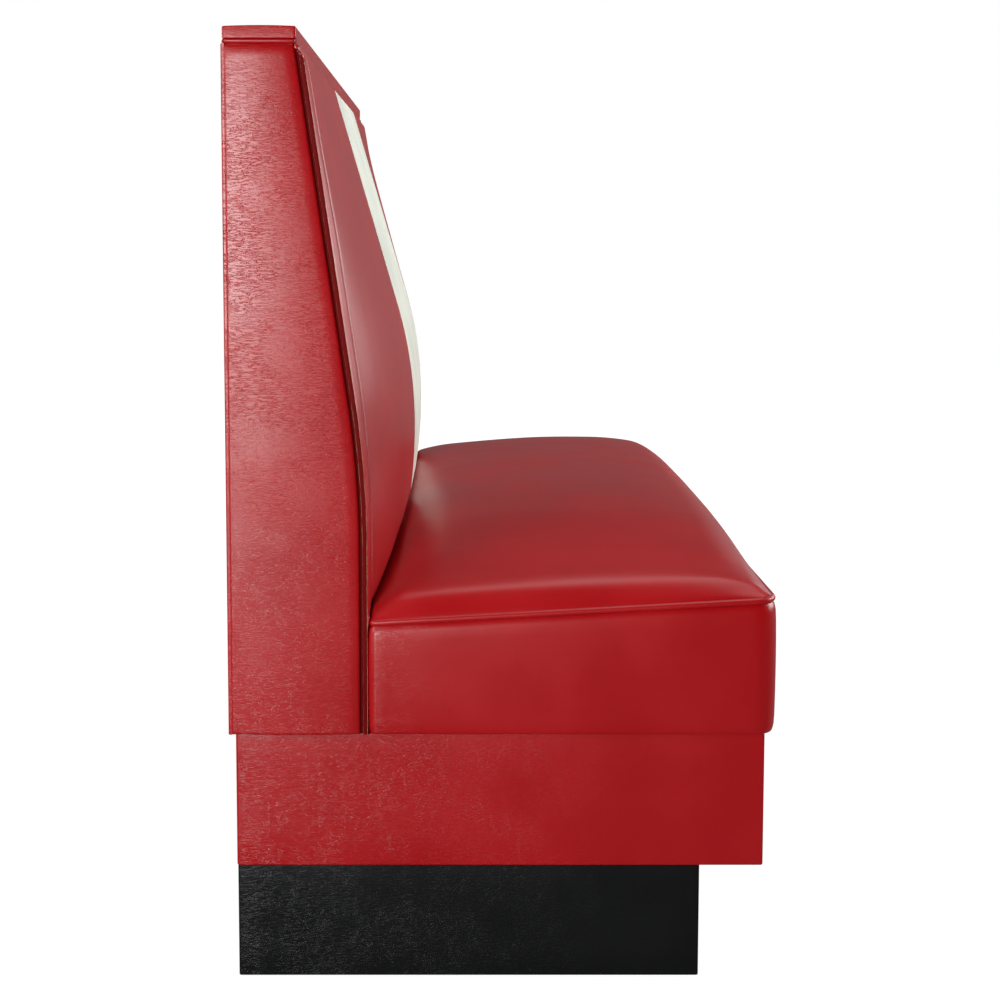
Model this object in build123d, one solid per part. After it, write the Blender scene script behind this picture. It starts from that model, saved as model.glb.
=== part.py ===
from build123d import *
import math
import os

# Restaurant booth seating: single bench, millimetres, +Z up, front faces -Y.
# The origin is on the floor, at the middle of the length and of the depth.

# Overall sizes
booth_length = 1168.0
booth_depth = 617.0
booth_height = 1073.0

# Levels, from the floor up
glide_height = 6.0
kick_top = 137.3
apron_top = 289.2
side_panel_bottom = 289.5
cap_end_height = 12.2

# Faces and edges of the back and the base; setbacks are from the rear or front of the whole depth
cap_rear_setback = 2.0
cap_depth = 80.2
back_top_depth = 80.0
back_base_depth = 148.0
knee_height = 583.0
knee_radius = 1160.0
apron_rear_setback = 7.1
apron_front_setback = 13.8
kick_rear_setback = 7.4
kick_front_setback = 84.9

# How far each level stands in from the ends of the booth
apron_end_setback = 8.5
kick_end_setback = 13.0
side_cover_width = 8.0
inner_panel_end_setback = 2.5

# Sheet goods and rails
kick_board = 18.0
apron_rail = 19.0
frame_board = 18.0
inner_board = 5.0
outside_board = 3.0
deck_board = 12.0
bottom_board = 9.0
vinyl = 1.0
dust_cover = 0.5
block_side = 38.0
back_rail_height = 45.0
back_rail_depth = 38.0

# Clearances
soft_gap = 0.3
side_groove = 3.2
rear_groove = 2.0
overrun = 5.0

# Side padding of the back
padding_edge_inset = 3.0
padding_crown_inset = 26.0
padding_edge_drop = 1.6
padding_crown_drop = 0.5

# Cushion of the back
back_seam_inset = 27.0
back_border_rise = 5.0
back_top_drop = 11.0
back_top_rise = 1.0
crown_depth = 202.0
crown_height = 598.0
crown_top_projection = 14.2
crown_top_roll = 10.0
crown_bend_share = 0.188
crown_foot_draw = 8.0
back_seat_gap = 7.0
centre_panel_width = 386.0

# Seat cushion
seat_rear_clearance = 2.3
welt_rear_height = 416.0
welt_front_height = 442.0
welt_diameter = 8.0
seat_crown = 88.0
seat_corner_radius = 25.0
seat_edge_inset = 1.5
seat_rear_roll = 36.0
seat_rear_bulge = 2.0
seat_front_roll = 62.0
boxing_bottom_radius = 8.0

# Cap
cap_welt_diameter = 6.4
cap_welt_clearance = 1.0
cap_edge_radius = 1.8
cap_crown = 1.0
cap_slope_share = 0.3

# Fixings
glide_diameter = 12.0
glide_rim = 2.0
glide_inset = 16.5
nail_diameter = 3.0
nail_length = 16.0
bolt_diameter = 8.0
bolt_length = 76.0
bolt_head_diameter = 16.0
bolt_head_height = 4.0
screw_diameter = 4.0
screw_length = 34.0
screw_head_diameter = 8.0
screw_head_height = 2.5
bracket_leg = 38.0
bracket_width = 20.0
bracket_plate = 2.5
vent_diameter = 25.0
rib_place_share = 1 / 3

cap_front_height = cap_end_height + cap_welt_diameter
half_length = booth_length / 2
half_depth = booth_depth / 2
frame_top = booth_height - cap_front_height
panel_top = frame_top - soft_gap
back_top = panel_top - back_top_drop
cap_front = cap_rear_setback + cap_depth
apron_front_depth = booth_depth - apron_front_setback
kick_front_depth = booth_depth - kick_front_setback
line_rake = math.atan2(back_base_depth - back_top_depth, panel_top - knee_height)
bend_low = knee_height - knee_radius * math.tan(line_rake / 2)
bend_high = bend_low + knee_radius * math.sin(line_rake)
frame_rear = vinyl + outside_board
frame_outer = half_length - side_cover_width
rib_x = booth_length / 2 * rib_place_share
deck_bottom = apron_top + soft_gap + dust_cover
deck_top = deck_bottom + deck_board
seat_top = welt_front_height + seat_crown
welt_radius = welt_diameter / 2
welt_reach = math.sqrt(welt_radius ** 2 - (welt_radius - vinyl) ** 2) + soft_gap


def spot(x, depth, height):
    """A point, its depth measured forward of the rear face."""
    return Vector(x, half_depth - depth, height)


def straight(x, start, end):
    return Edge.make_line(spot(x, *start), spot(x, *end))


def curve(x, start, middle, end):
    return Edge.make_three_point_arc(spot(x, *start), spot(x, *middle), spot(x, *end))


def section(x, edges):
    """A flat face across the booth's length, from its edges in order."""
    return Face(Wire(edges))


def block(x_range, depth_range, height_range):
    """A box between two places along each direction."""
    low = spot(x_range[0], depth_range[1], height_range[0])
    high = spot(x_range[1], depth_range[0], height_range[1])
    size = high - low
    return Pos(*((low + high) / 2)) * Box(size.X, size.Y, size.Z)


def largest(shape):
    """The main solid of a shape, without the slivers beside it."""
    return max(shape.solids(), key=lambda solid: solid.volume)


def mirrored(solid):
    return mirror(solid, about=Plane.YZ)


def both_ends(solid):
    return [solid, mirrored(solid)]


def upright(diameter, height, x, depth, low):
    """A round pin standing on the height low."""
    base = Plane(spot(x, depth, low))
    return base * extrude(Circle(diameter / 2), height)


def line_depth(height):
    """How far forward the side panel's front edge stands at a height."""
    if height >= bend_high:
        return back_top_depth + (panel_top - height) * math.tan(line_rake)
    if height <= bend_low:
        return back_base_depth
    return back_base_depth - knee_radius + math.sqrt(knee_radius ** 2 - (height - bend_low) ** 2)


def back_line(x, offset, low, high):
    """The front edge of the back from high to low, moved forward by offset."""
    third = (high - low) / 3
    upper_bend = bend_high if bend_high < high else high - third
    lower_bend = bend_low if bend_low > low else low + third
    heights = (high, upper_bend, lower_bend, low)
    edges = []
    for upper, lower in zip(heights, heights[1:]):
        places = (upper, (upper + lower) / 2, lower)
        start, middle, end = [(line_depth(height) + offset, height) for height in places]
        bent = upper > bend_low and lower < bend_high
        edges.append(curve(x, start, middle, end) if bent else straight(x, start, end))
    return edges, (line_depth(high) + offset, high), (line_depth(low) + offset, low)


def back_profile(x, rear, offset, low, high):
    """The side outline of the back, from rear to the front edge moved by offset."""
    front, top, bottom = back_line(x, offset, low, high)
    edges = front + [
        straight(x, bottom, (rear, low)),
        straight(x, (rear, low), (rear, high)),
        straight(x, (rear, high), top),
    ]
    return section(x, edges)


def ring(half_x, depth_range, height_range, wall):
    """A thin skin round the four upright faces of a box."""
    outer = block((-half_x, half_x), depth_range, height_range)
    inner_x = half_x - wall
    inner_depth = (depth_range[0] + wall, depth_range[1] - wall)
    cut_height = (height_range[0] - overrun, height_range[1] + overrun)
    return outer - block((-inner_x, inner_x), inner_depth, cut_height)


def box_frame(end_setback, depth_range, height_range, board):
    """Front, rear and end boards of a box, inside its vinyl."""
    outer_x = half_length - end_setback - vinyl
    rear, front = depth_range[0] + vinyl, depth_range[1] - vinyl
    front_board = block((-outer_x, outer_x), (front - board, front), height_range)
    rear_board = block((-outer_x, outer_x), (rear, rear + board), height_range)
    end_board = block((-outer_x, board - outer_x), (rear + board, front - board), height_range)
    return front_board, rear_board, end_board


def corner_blocks(end_setback, depth_range, height_range, board):
    """Square blocks in the four corners of a box."""
    outer_x = half_length - end_setback - vinyl - board
    rear, front = depth_range[0] + vinyl + board, depth_range[1] - vinyl - board
    across = (-outer_x, block_side - outer_x)
    near_rear = block(across, (rear, rear + block_side), height_range)
    near_front = block(across, (front - block_side, front), height_range)
    return both_ends(near_rear) + both_ends(near_front)


def cross_boards(depth_range, height_range, board):
    """Two boards from front to rear, under the ribs of the back."""
    rear, front = depth_range[0] + vinyl + board, depth_range[1] - vinyl - board
    return both_ends(block((rib_x - board / 2, rib_x + board / 2), (rear, front), height_range))


def floor_glides():
    """Domed nail-on glides under the corners and the middle of the kick base."""
    outer_x = half_length - kick_end_setback - glide_inset
    depths = (kick_rear_setback + glide_inset, kick_front_depth - glide_inset)
    radius = glide_diameter / 2
    dome_top = glide_height - glide_rim
    foot = radius - glide_rim
    corners = [(0, 0), (foot, 0), (radius, dome_top), (radius, glide_height), (0, glide_height), (0, 0)]
    dome = revolve(Plane.XZ * make_face(Polyline(*corners)), Axis.Z)
    nail = Pos(0, 0, glide_height) * extrude(Circle(nail_diameter / 2), nail_length)
    glide = dome + nail
    return [Pos(*spot(x, depth, 0)) * glide for x in (-outer_x, 0, outer_x) for depth in depths]


def screw_places():
    """Where the box is screwed down to the corner blocks of the kick base."""
    x = half_length - kick_end_setback - vinyl - kick_board - block_side / 2
    rear = kick_rear_setback + vinyl + kick_board + block_side / 2
    front = kick_front_depth - vinyl - kick_board - block_side / 2
    return [(side * x, depth) for side in (-1, 1) for depth in (rear, front)]


def fixing(x, depth, top, shank_diameter, length, head_diameter, head_height):
    """A screw or bolt pointing down, its head resting on the height top."""
    head = upright(head_diameter, head_height, x, depth, top)
    shank = upright(shank_diameter, length, x, depth, top - length)
    return head + shank


def base_screws():
    top = kick_top + bottom_board - screw_head_height
    sizes = (screw_diameter, screw_length, screw_head_diameter, screw_head_height)
    return [fixing(x, depth, top, *sizes) for x, depth in screw_places()]


def bolt_places():
    """Bolts that hold the bottom rail of the back to the rear rail of the box."""
    outer_x = (frame_outer + rib_x) / 2
    depth = apron_rear_setback + vinyl + apron_rail / 2
    return [(x, depth) for x in (-outer_x, -rib_x / 2, rib_x / 2, outer_x)]


def back_bolts():
    top = apron_top + back_rail_height
    sizes = (bolt_diameter, bolt_length, bolt_head_diameter, bolt_head_height)
    return [fixing(x, depth, top, *sizes) for x, depth in bolt_places()]


def seat_brackets():
    """Steel angles inside the box, under the seat deck."""
    x = rib_x + apron_rail / 2
    front = apron_front_depth - vinyl - apron_rail
    rear = back_base_depth + side_groove + inner_board + block_side
    brackets = []
    for middle in (rear, front - block_side):
        across = (middle - bracket_width / 2, middle + bracket_width / 2)
        leg = block((x, x + bracket_plate), across, (apron_top - bracket_leg, apron_top))
        shelf = block((x, x + bracket_leg), across, (apron_top - bracket_plate, apron_top))
        brackets += both_ends(leg + shelf)
    return brackets


def back_rail(low):
    """A rail in each bay between the end frames and the ribs."""
    high = low + back_rail_height
    inner = frame_outer - frame_board
    depth_range = (frame_rear, frame_rear + back_rail_depth)
    side_bay = block((rib_x + frame_board / 2, inner), depth_range, (low, high))
    middle_bay = block((frame_board / 2 - rib_x, rib_x - frame_board / 2), depth_range, (low, high))
    return [middle_bay] + both_ends(side_bay)


def end_frame(x_low, x_high):
    """A profiled upright board of the back."""
    profile = back_profile(x_low, frame_rear, side_groove, apron_top, frame_top)
    return extrude(profile, x_high - x_low, dir=(1, 0, 0))


def inner_panel_board():
    """The bent plywood sheet that carries the back cushion."""
    reach = half_length - inner_panel_end_setback - vinyl
    low = apron_top + soft_gap
    front = back_profile(-reach, frame_rear, side_groove + inner_board, low, back_top)
    cut_low, cut_high = low - overrun, back_top + overrun
    rear = back_profile(-reach - overrun, frame_rear - overrun, side_groove, cut_low, cut_high)
    whole = extrude(front, 2 * reach, dir=(1, 0, 0))
    behind = extrude(rear, 2 * (reach + overrun), dir=(1, 0, 0))
    return whole - behind


def side_pillow(skin):
    """The crowned pad on the right side of the back, skin thicker than its foam."""
    base = frame_outer
    face = half_length - vinyl + skin
    low = side_panel_bottom + vinyl - skin
    high = panel_top - vinyl + skin
    rear = frame_rear + rear_groove + vinyl - skin
    steps = (
        (base, 0.0),
        (face - padding_edge_drop - padding_crown_drop, 0.0),
        (face - padding_crown_drop, padding_edge_inset),
        (face, padding_crown_inset),
    )
    faces = []
    for x, inset in steps:
        faces.append(back_profile(x, rear + inset, skin - vinyl - inset, low + inset, high - inset))
    return loft(faces, ruled=True)


# Shares of the crown at each share of the way from a seam to the middle
back_crown_shares = (
    (0.0, 0.02),
    (0.03, 0.16),
    (0.10, 0.34),
    (0.22, 0.58),
    (0.42, 0.83),
    (0.70, 0.97),
    (1.0, 1.0),
)
# Shares of the border's rise at each share of the way from an end to a seam
back_border_shares = ((0.0, 0.25), (0.2, 0.9), (0.6, 1.0), (1.0, 0.75))


def share_at(shares, way):
    """A table's share at a share of the way, between its nearest entries."""
    for (way_before, before), (way_after, after) in zip(shares, shares[1:]):
        if way <= way_after:
            return before + (after - before) * (way - way_before) / (way_after - way_before)
    return shares[-1][1]


def crown_slope():
    """Where the back's crown meets the straight slope above it, and the slope's top."""
    top_height = back_top - vinyl - crown_top_roll
    top_depth = line_depth(top_height) + crown_top_projection
    bend = (top_height - crown_height) * crown_bend_share
    rake = math.atan2(crown_depth - top_depth, top_height - crown_height - bend)
    radius = bend / math.tan(rake / 2)
    tangent = (crown_depth - radius * (1 - math.cos(rake)), crown_height + radius * math.sin(rake))
    return tangent, (top_depth, top_height)


def crown_front(x, share, border, skin):
    """The front of the back cushion at x, from its top to its foot, as edges and end points."""
    board = side_groove + inner_board
    high = back_top - vinyl + skin
    flat = border * back_border_rise + skin
    tangent, slope_top = crown_slope()
    foot_depth = crown_depth - crown_foot_draw

    def pushed(full_depth, height):
        rest = line_depth(height) + board + flat
        return (rest + share * (full_depth - vinyl + skin - rest), height)

    foot_rest = back_base_depth + board + border * back_border_rise
    foot_reach = foot_rest + share * (foot_depth - foot_rest)
    foot_height = seat_rear_height(x, foot_reach) + back_seat_gap - skin
    low = seat_rear_height(x, foot_rest) + back_seat_gap - skin
    top_rear = (line_depth(high) + board, high)
    top_front = (top_rear[0] + back_top_rise * border + skin, high)
    roll = pushed(*slope_top)
    roll_middle = ((top_front[0] + 2 * roll[0]) / 3, high - crown_top_roll / 3)
    upper = pushed(*tangent)
    centre = pushed(crown_depth, crown_height)
    foot = pushed(foot_depth, foot_height)
    foot_front = (line_depth(low) + board + flat, low)
    foot_rear = (line_depth(low) + board, low)
    edges = [
        straight(x, top_rear, top_front),
        curve(x, top_front, roll_middle, roll),
        straight(x, roll, upper),
        curve(x, upper, centre, foot),
        straight(x, foot, foot_front),
        straight(x, foot_front, foot_rear),
    ]
    return edges, top_rear, foot_rear


def seat_rear_height(x, depth):
    """The seat's height at x and a depth on its rear roll."""
    edge_way = max(1 - abs(x) / seat_edge_x(), 0)
    rise = share_at(seat_crown_shares, edge_way) * seat_crown
    roll_way = (depth - seat_rear()) / seat_rear_roll
    return welt_height(depth) + (seat_wall_share + roll_way * (seat_rear_share - seat_wall_share)) * rise


def cushion_section(x, share, border):
    """The back foam's outline at x, closed along the bent board behind it."""
    front, top, foot = crown_front(x, share, border, 0)
    rear = back_line(x, side_groove + inner_board, foot[1], top[1])[0]
    return section(x, front + rear)


def cover_section(x, share, border):
    """The thin outline of the cover at x, between its two faces."""
    outer, outer_top, outer_foot = crown_front(x, share, border, vinyl)
    inner, inner_top, inner_foot = crown_front(x, share, border, 0)
    joints = [straight(x, outer_top, inner_top), straight(x, outer_foot, inner_foot)]
    return section(x, outer + inner + joints)


def back_places():
    """Places along the left half of the back cushion, with crown and border shares."""
    edge_x = half_length - inner_panel_end_setback - vinyl
    seam_x = half_length - back_seam_inset
    panel_way = 1 - centre_panel_width / 2 / seam_x
    places = []
    for way, border in back_border_shares[:-1]:
        places.append((-edge_x + (edge_x - seam_x) * way, back_crown_shares[0][1], border))
    ways = sorted([way for way, share in back_crown_shares] + [panel_way])
    for way in ways:
        border = back_border_shares[-1][1] if way == 0 else 1.0
        places.append((-seam_x * (1 - way), share_at(back_crown_shares, way), border))
    return places


def back_cushion():
    """The crowned foam of the back with its flat borders."""
    places = back_places()
    places += [(-x, share, border) for x, share, border in reversed(places[:-1])]
    return loft([cushion_section(*place) for place in places], ruled=True)


def back_covers():
    """The sewn cover of the back cushion: a red left panel and the centre panel."""
    seam = centre_panel_width / 2 + soft_gap / 2
    places = back_places()
    side = [place for place in places if place[0] < -seam + soft_gap]
    middle = [place for place in places if place[0] > -seam]
    middle += [(-x, share, border) for x, share, border in reversed(middle[:-1])]
    left = loft([cover_section(*place) for place in side], ruled=True)
    centre = loft([cover_section(*place) for place in middle], ruled=True)
    end_x, share, border = places[0]
    outer, top, foot = crown_front(end_x, share, border, vinyl)
    rear = back_line(end_x, side_groove + inner_board, foot[1], top[1])[0]
    return left + extrude(section(end_x, outer + rear), vinyl, dir=(-1, 0, 0)), centre


def seat_rear():
    return back_base_depth + side_groove + inner_board + seat_rear_clearance


def seat_edge_x():
    return half_length - seat_edge_inset - vinyl


def welt_height(depth):
    """The height of the seat welt's centre line at a depth."""
    slope = (welt_front_height - welt_rear_height) / (booth_depth - seat_rear())
    return welt_rear_height + (depth - seat_rear()) * slope


# Shares of the crown at each share of the way from an end to the middle
seat_crown_shares = (
    (0.0, 0.02),
    (0.035, 0.30),
    (0.10, 0.44),
    (0.20, 0.62),
    (0.40, 0.86),
    (0.68, 0.97),
    (1.0, 1.0),
)
seat_wall_share = 0.4
seat_rear_share = 0.88
seat_front_share = 0.82


def seat_section(x, share, skin):
    """The outline of the seat's crown at x, scaled by share, just wider than the seat's walls."""
    outset = skin - vinyl + soft_gap
    rear, front = seat_rear() - outset, booth_depth - seat_edge_inset + outset
    rise = share * seat_crown + skin
    shelf = rear + seat_rear_roll
    brow = front - seat_front_roll
    middle = (shelf + brow) / 2
    corner = (rear, welt_height(rear) + seat_wall_share * rise)
    shelf_top = (shelf, welt_height(shelf) + seat_rear_share * rise)
    crest = (middle, welt_height(middle) + rise)
    brow_top = (brow, welt_height(brow) + seat_front_share * rise)
    lip = (front, welt_height(front))
    rear_turn = ((rear + shelf) / 2, (corner[1] + shelf_top[1]) / 2 + seat_rear_bulge * share)
    front_turn = (front - seat_front_roll / 4, welt_height(front) + seat_front_share / 2 * rise)
    rear_out, front_out = rear - overrun, front + overrun
    return [
        straight(x, (rear_out, deck_top), (rear_out, corner[1])),
        straight(x, (rear_out, corner[1]), corner),
        curve(x, corner, rear_turn, shelf_top),
        curve(x, shelf_top, crest, brow_top),
        curve(x, brow_top, front_turn, lip),
        straight(x, lip, (front_out, lip[1])),
        straight(x, (front_out, lip[1]), (front_out, deck_top)),
        straight(x, (front_out, deck_top), (rear_out, deck_top)),
    ]


def seat_crown_solid(skin):
    """The seat's crown over a body wider than the seat, skin thicker than its foam."""
    edge_x = seat_edge_x() + skin + soft_gap
    places = [(-edge_x - overrun, seat_crown_shares[0][1])]
    places += [(-edge_x * (1 - way), share) for way, share in seat_crown_shares]
    places += [(-x, share) for x, share in reversed(places[:-1])]
    faces = [section(x, seat_section(x, share, skin)) for x, share in places]
    return loft(faces, ruled=True)


def seat_plan(height, outset):
    """The rounded outline of the seat, seen from above, as a face at height."""
    half_x = half_length - seat_edge_inset + outset
    rear, front = seat_rear() - outset, booth_depth - seat_edge_inset + outset
    corner = seat_corner_radius + outset
    outline = RectangleRounded(2 * half_x, front - rear, corner)
    return Plane(spot(0, (rear + front) / 2, height)) * outline


def seat_block(outset, low, high):
    """A prism over the seat's outline."""
    return extrude(seat_plan(low, outset), high - low)


def seat_walls(outset, spare):
    """The cushion's bulged sides, from under the deck to above the crown, spare longer at both ends."""
    middle = (deck_bottom + welt_rear_height) / 2
    levels = (
        (deck_bottom - spare, outset - boxing_bottom_radius / 4),
        (deck_bottom + boxing_bottom_radius, outset),
        (middle, outset + seat_edge_inset),
        (welt_rear_height, outset),
        (seat_top + overrun + spare, outset),
    )
    return loft([seat_plan(height, spread) for height, spread in levels], ruled=True)


def above_welt(rise):
    """Everything higher than the sloping plane of the welt, moved up by rise."""
    reach = half_length + overrun
    rear, front = seat_rear() - overrun, booth_depth + overrun
    high = seat_top + 2 * overrun
    points = [
        (rear, welt_height(rear) + rise),
        (front, welt_height(front) + rise),
        (front, high),
        (rear, high),
    ]
    edges = [straight(-reach, points[i - 1], points[i]) for i in range(len(points))]
    return extrude(section(-reach, edges), 2 * reach, dir=(1, 0, 0))


def seat_welt():
    """The piping round the seat's top edge, a closed loop on a slope."""
    inset = seat_edge_inset + welt_radius
    half_x = half_length - inset
    rear, front = seat_rear() + welt_radius, booth_depth - inset
    rise = welt_height(front) - welt_height(rear)
    tilt = math.degrees(math.atan2(rise, front - rear))
    middle = spot(0, (rear + front) / 2, welt_height((rear + front) / 2))
    plane = Plane(middle) * Rot(-tilt, 0, 0)
    length = math.hypot(front - rear, rise)
    path = plane * RectangleRounded(2 * half_x, length, seat_corner_radius - inset).wire()
    start = path.position_at(0)
    profile = Plane(start, z_dir=path.tangent_at(0)) * Circle(welt_radius)
    return sweep(profile, path=path)


def seat_deck():
    """The plywood deck with its vent holes."""
    board = seat_block(-vinyl - boxing_bottom_radius / 4, deck_bottom, deck_top)
    middle = (seat_rear() + booth_depth) / 2
    for x in (-rib_x, 0, rib_x):
        hole = upright(vent_diameter, deck_board + 2 * overrun, x, middle, deck_bottom - overrun)
        board -= hole
    return board


def cap_board():
    """The cap's board, rebated at its ends and rear for the welt."""
    top = booth_height - cap_crown - vinyl
    rebate = booth_height - cap_end_height
    outer_x = half_length - vinyl
    depth_range = (cap_rear_setback + vinyl, cap_front - vinyl)
    core_inset = cap_welt_diameter + cap_welt_clearance
    core_x = half_length - core_inset
    core_depth = (cap_rear_setback + core_inset, cap_front - vinyl)
    plate = block((-outer_x, outer_x), depth_range, (rebate, top))
    return plate + block((-core_x, core_x), core_depth, (frame_top, top))


def cap_vinyl(board):
    """The vinyl over the cap, crowned a little along its middle."""
    rebate = booth_height - cap_end_height
    shoulder = booth_height - cap_crown
    slope = cap_depth * cap_slope_share
    points = [
        (cap_rear_setback, rebate),
        (cap_rear_setback, shoulder),
        (cap_rear_setback + slope, booth_height),
        (cap_front - slope, booth_height),
        (cap_front, shoulder),
        (cap_front, rebate),
    ]
    edges = [straight(-half_length, points[i - 1], points[i]) for i in range(len(points))]
    body = extrude(section(-half_length, edges), booth_length, dir=(1, 0, 0))
    body = fillet(body.edges().filter_by(Axis.Z), cap_edge_radius)
    lip_x = half_length - cap_welt_diameter
    lip = block((-lip_x, lip_x), (cap_front - vinyl, cap_front), (frame_top, shoulder))
    return body + lip - board


def cap_welt():
    """The piping under the cap, round its rear and both ends."""
    radius = cap_welt_diameter / 2
    x = half_length - radius
    rear = cap_rear_setback + radius
    front = cap_front - radius
    height = frame_top + radius
    turn = cap_welt_diameter
    points = [spot(-x, front, height), spot(-x, rear, height), spot(x, rear, height), spot(x, front, height)]
    path = FilletPolyline(*points, radius=turn)
    profile = Plane(points[0], z_dir=path.tangent_at(0)) * Circle(radius)
    return sweep(profile, path=path)


def outside_back():
    """The flat rear panel and its vinyl."""
    outer_x = half_length - inner_panel_end_setback
    low, high = side_panel_bottom, panel_top
    board_x = outer_x - vinyl
    board = block((-board_x, board_x), (vinyl, frame_rear), (low + vinyl, high - vinyl))
    skin = block((-outer_x, outer_x), (0, frame_rear), (low, high)) - board
    lip_x = board_x - vinyl
    behind = block((-lip_x, lip_x), (vinyl, frame_rear + overrun), (low + 2 * vinyl, high - 2 * vinyl))
    return board, skin - behind


def build():
    """Every sub-part of the booth by name."""
    kick_depths = (kick_rear_setback, kick_front_depth)
    kick_heights = (glide_height, kick_top)
    apron_depths = (apron_rear_setback, apron_front_depth)
    apron_heights = (kick_top, apron_top)
    inside_heights = (kick_top + bottom_board, apron_top)
    parts = {}

    glides = floor_glides()
    front, rear, end = box_frame(kick_end_setback, kick_depths, kick_heights, kick_board)
    parts["kick_front_board"] = front - glides
    parts["kick_rear_board"] = rear - glides
    parts["kick_left_end_board"] = end
    parts["kick_right_end_board"] = mirrored(end)
    parts["kick_cross_braces"] = cross_boards(kick_depths, kick_heights, kick_board)
    screws = base_screws()
    blocks = corner_blocks(kick_end_setback, kick_depths, kick_heights, kick_board)
    parts["kick_corner_blocks"] = [piece - screws for piece in blocks]
    parts["kick_vinyl_wrap"] = ring(half_length - kick_end_setback, kick_depths, kick_heights, vinyl)
    parts["floor_glides"] = glides

    bolts = back_bolts()
    front, rear, end = box_frame(apron_end_setback, apron_depths, apron_heights, apron_rail)
    parts["apron_front_rail"] = front
    parts["apron_rear_rail"] = rear - bolts
    parts["apron_left_rail"] = end
    parts["apron_right_rail"] = mirrored(end)
    parts["box_cross_rails"] = cross_boards(apron_depths, inside_heights, apron_rail)
    parts["box_corner_blocks"] = corner_blocks(apron_end_setback, apron_depths, inside_heights, apron_rail)
    floor_x = half_length - apron_end_setback - vinyl - apron_rail
    floor_depths = (apron_rear_setback + vinyl + apron_rail, apron_front_depth - vinyl - apron_rail)
    floor = block((-floor_x, floor_x), floor_depths, (kick_top, kick_top + bottom_board))
    parts["box_bottom_board"] = floor - screws
    parts["apron_vinyl_wrap"] = ring(half_length - apron_end_setback, apron_depths, apron_heights, vinyl)
    parts["base_screws"] = screws
    parts["seat_brackets"] = seat_brackets()

    parts["seat_deck"] = seat_deck()
    inset = -vinyl - boxing_bottom_radius
    parts["seat_dust_cover"] = seat_block(inset, deck_bottom - dust_cover, deck_bottom)
    foam = seat_crown_solid(0) & seat_walls(-vinyl, 0)
    welt = seat_welt()
    parts["seat_foam"] = foam - welt
    parts["seat_boxing"] = seat_walls(0, 0) - above_welt(-welt_reach) - seat_walls(-vinyl, overrun)
    crown = seat_crown_solid(vinyl) & seat_walls(0, 0) & above_welt(welt_radius + soft_gap)
    parts["seat_top_cover"] = largest(crown - foam)
    parts["seat_welt"] = welt

    frame = end_frame(-frame_outer, frame_board - frame_outer)
    parts["back_left_end_frame"] = frame
    parts["back_right_end_frame"] = mirrored(frame)
    parts["back_ribs"] = both_ends(end_frame(rib_x - frame_board / 2, rib_x + frame_board / 2))
    parts["back_top_rail"] = back_rail(frame_top - back_rail_height)
    parts["back_middle_rail"] = back_rail(knee_height)
    parts["back_bottom_rail"] = [rail - bolts for rail in back_rail(apron_top)]
    parts["back_bolts"] = bolts
    parts["inner_back_board"] = inner_panel_board()
    left, centre = back_covers()
    parts["back_foam"] = back_cushion()
    parts["back_cover_left"] = left
    parts["back_cover_centre"] = centre
    parts["back_cover_right"] = mirrored(left)
    padding = side_pillow(0)
    cover = side_pillow(vinyl) - padding
    parts["side_padding_right"] = padding
    parts["side_padding_left"] = mirrored(padding)
    parts["side_cover_right"] = cover
    parts["side_cover_left"] = mirrored(cover)
    board, skin = outside_back()
    parts["outside_back_board"] = board
    parts["outside_back_vinyl"] = skin
    board = cap_board()
    parts["cap_board"] = board
    parts["cap_vinyl"] = cap_vinyl(board)
    parts["cap_welt"] = cap_welt()
    return parts


os.makedirs("parts", exist_ok=True)
for name, shape in build().items():
    shapes = shape if isinstance(shape, list) else [shape]
    solids = [solid for item in shapes for solid in item.solids()]
    export_step(Compound(children=solids), f"parts/{name}.step")
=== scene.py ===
"""Restaurant booth bench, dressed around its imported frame. Metres, +Z up, the front faces -Y."""

import functools
import logging
import math
from collections.abc import Callable, Iterable, Sequence
from dataclasses import dataclass, field
from enum import Enum
from typing import Any

import bmesh
import bpy
from bmesh.types import BMEdge, BMesh, BMFace, BMVert
from bpy.types import ID, Material, Mesh, Node, NodeSocket, Object, World
from mathutils import Matrix, Vector

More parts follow.
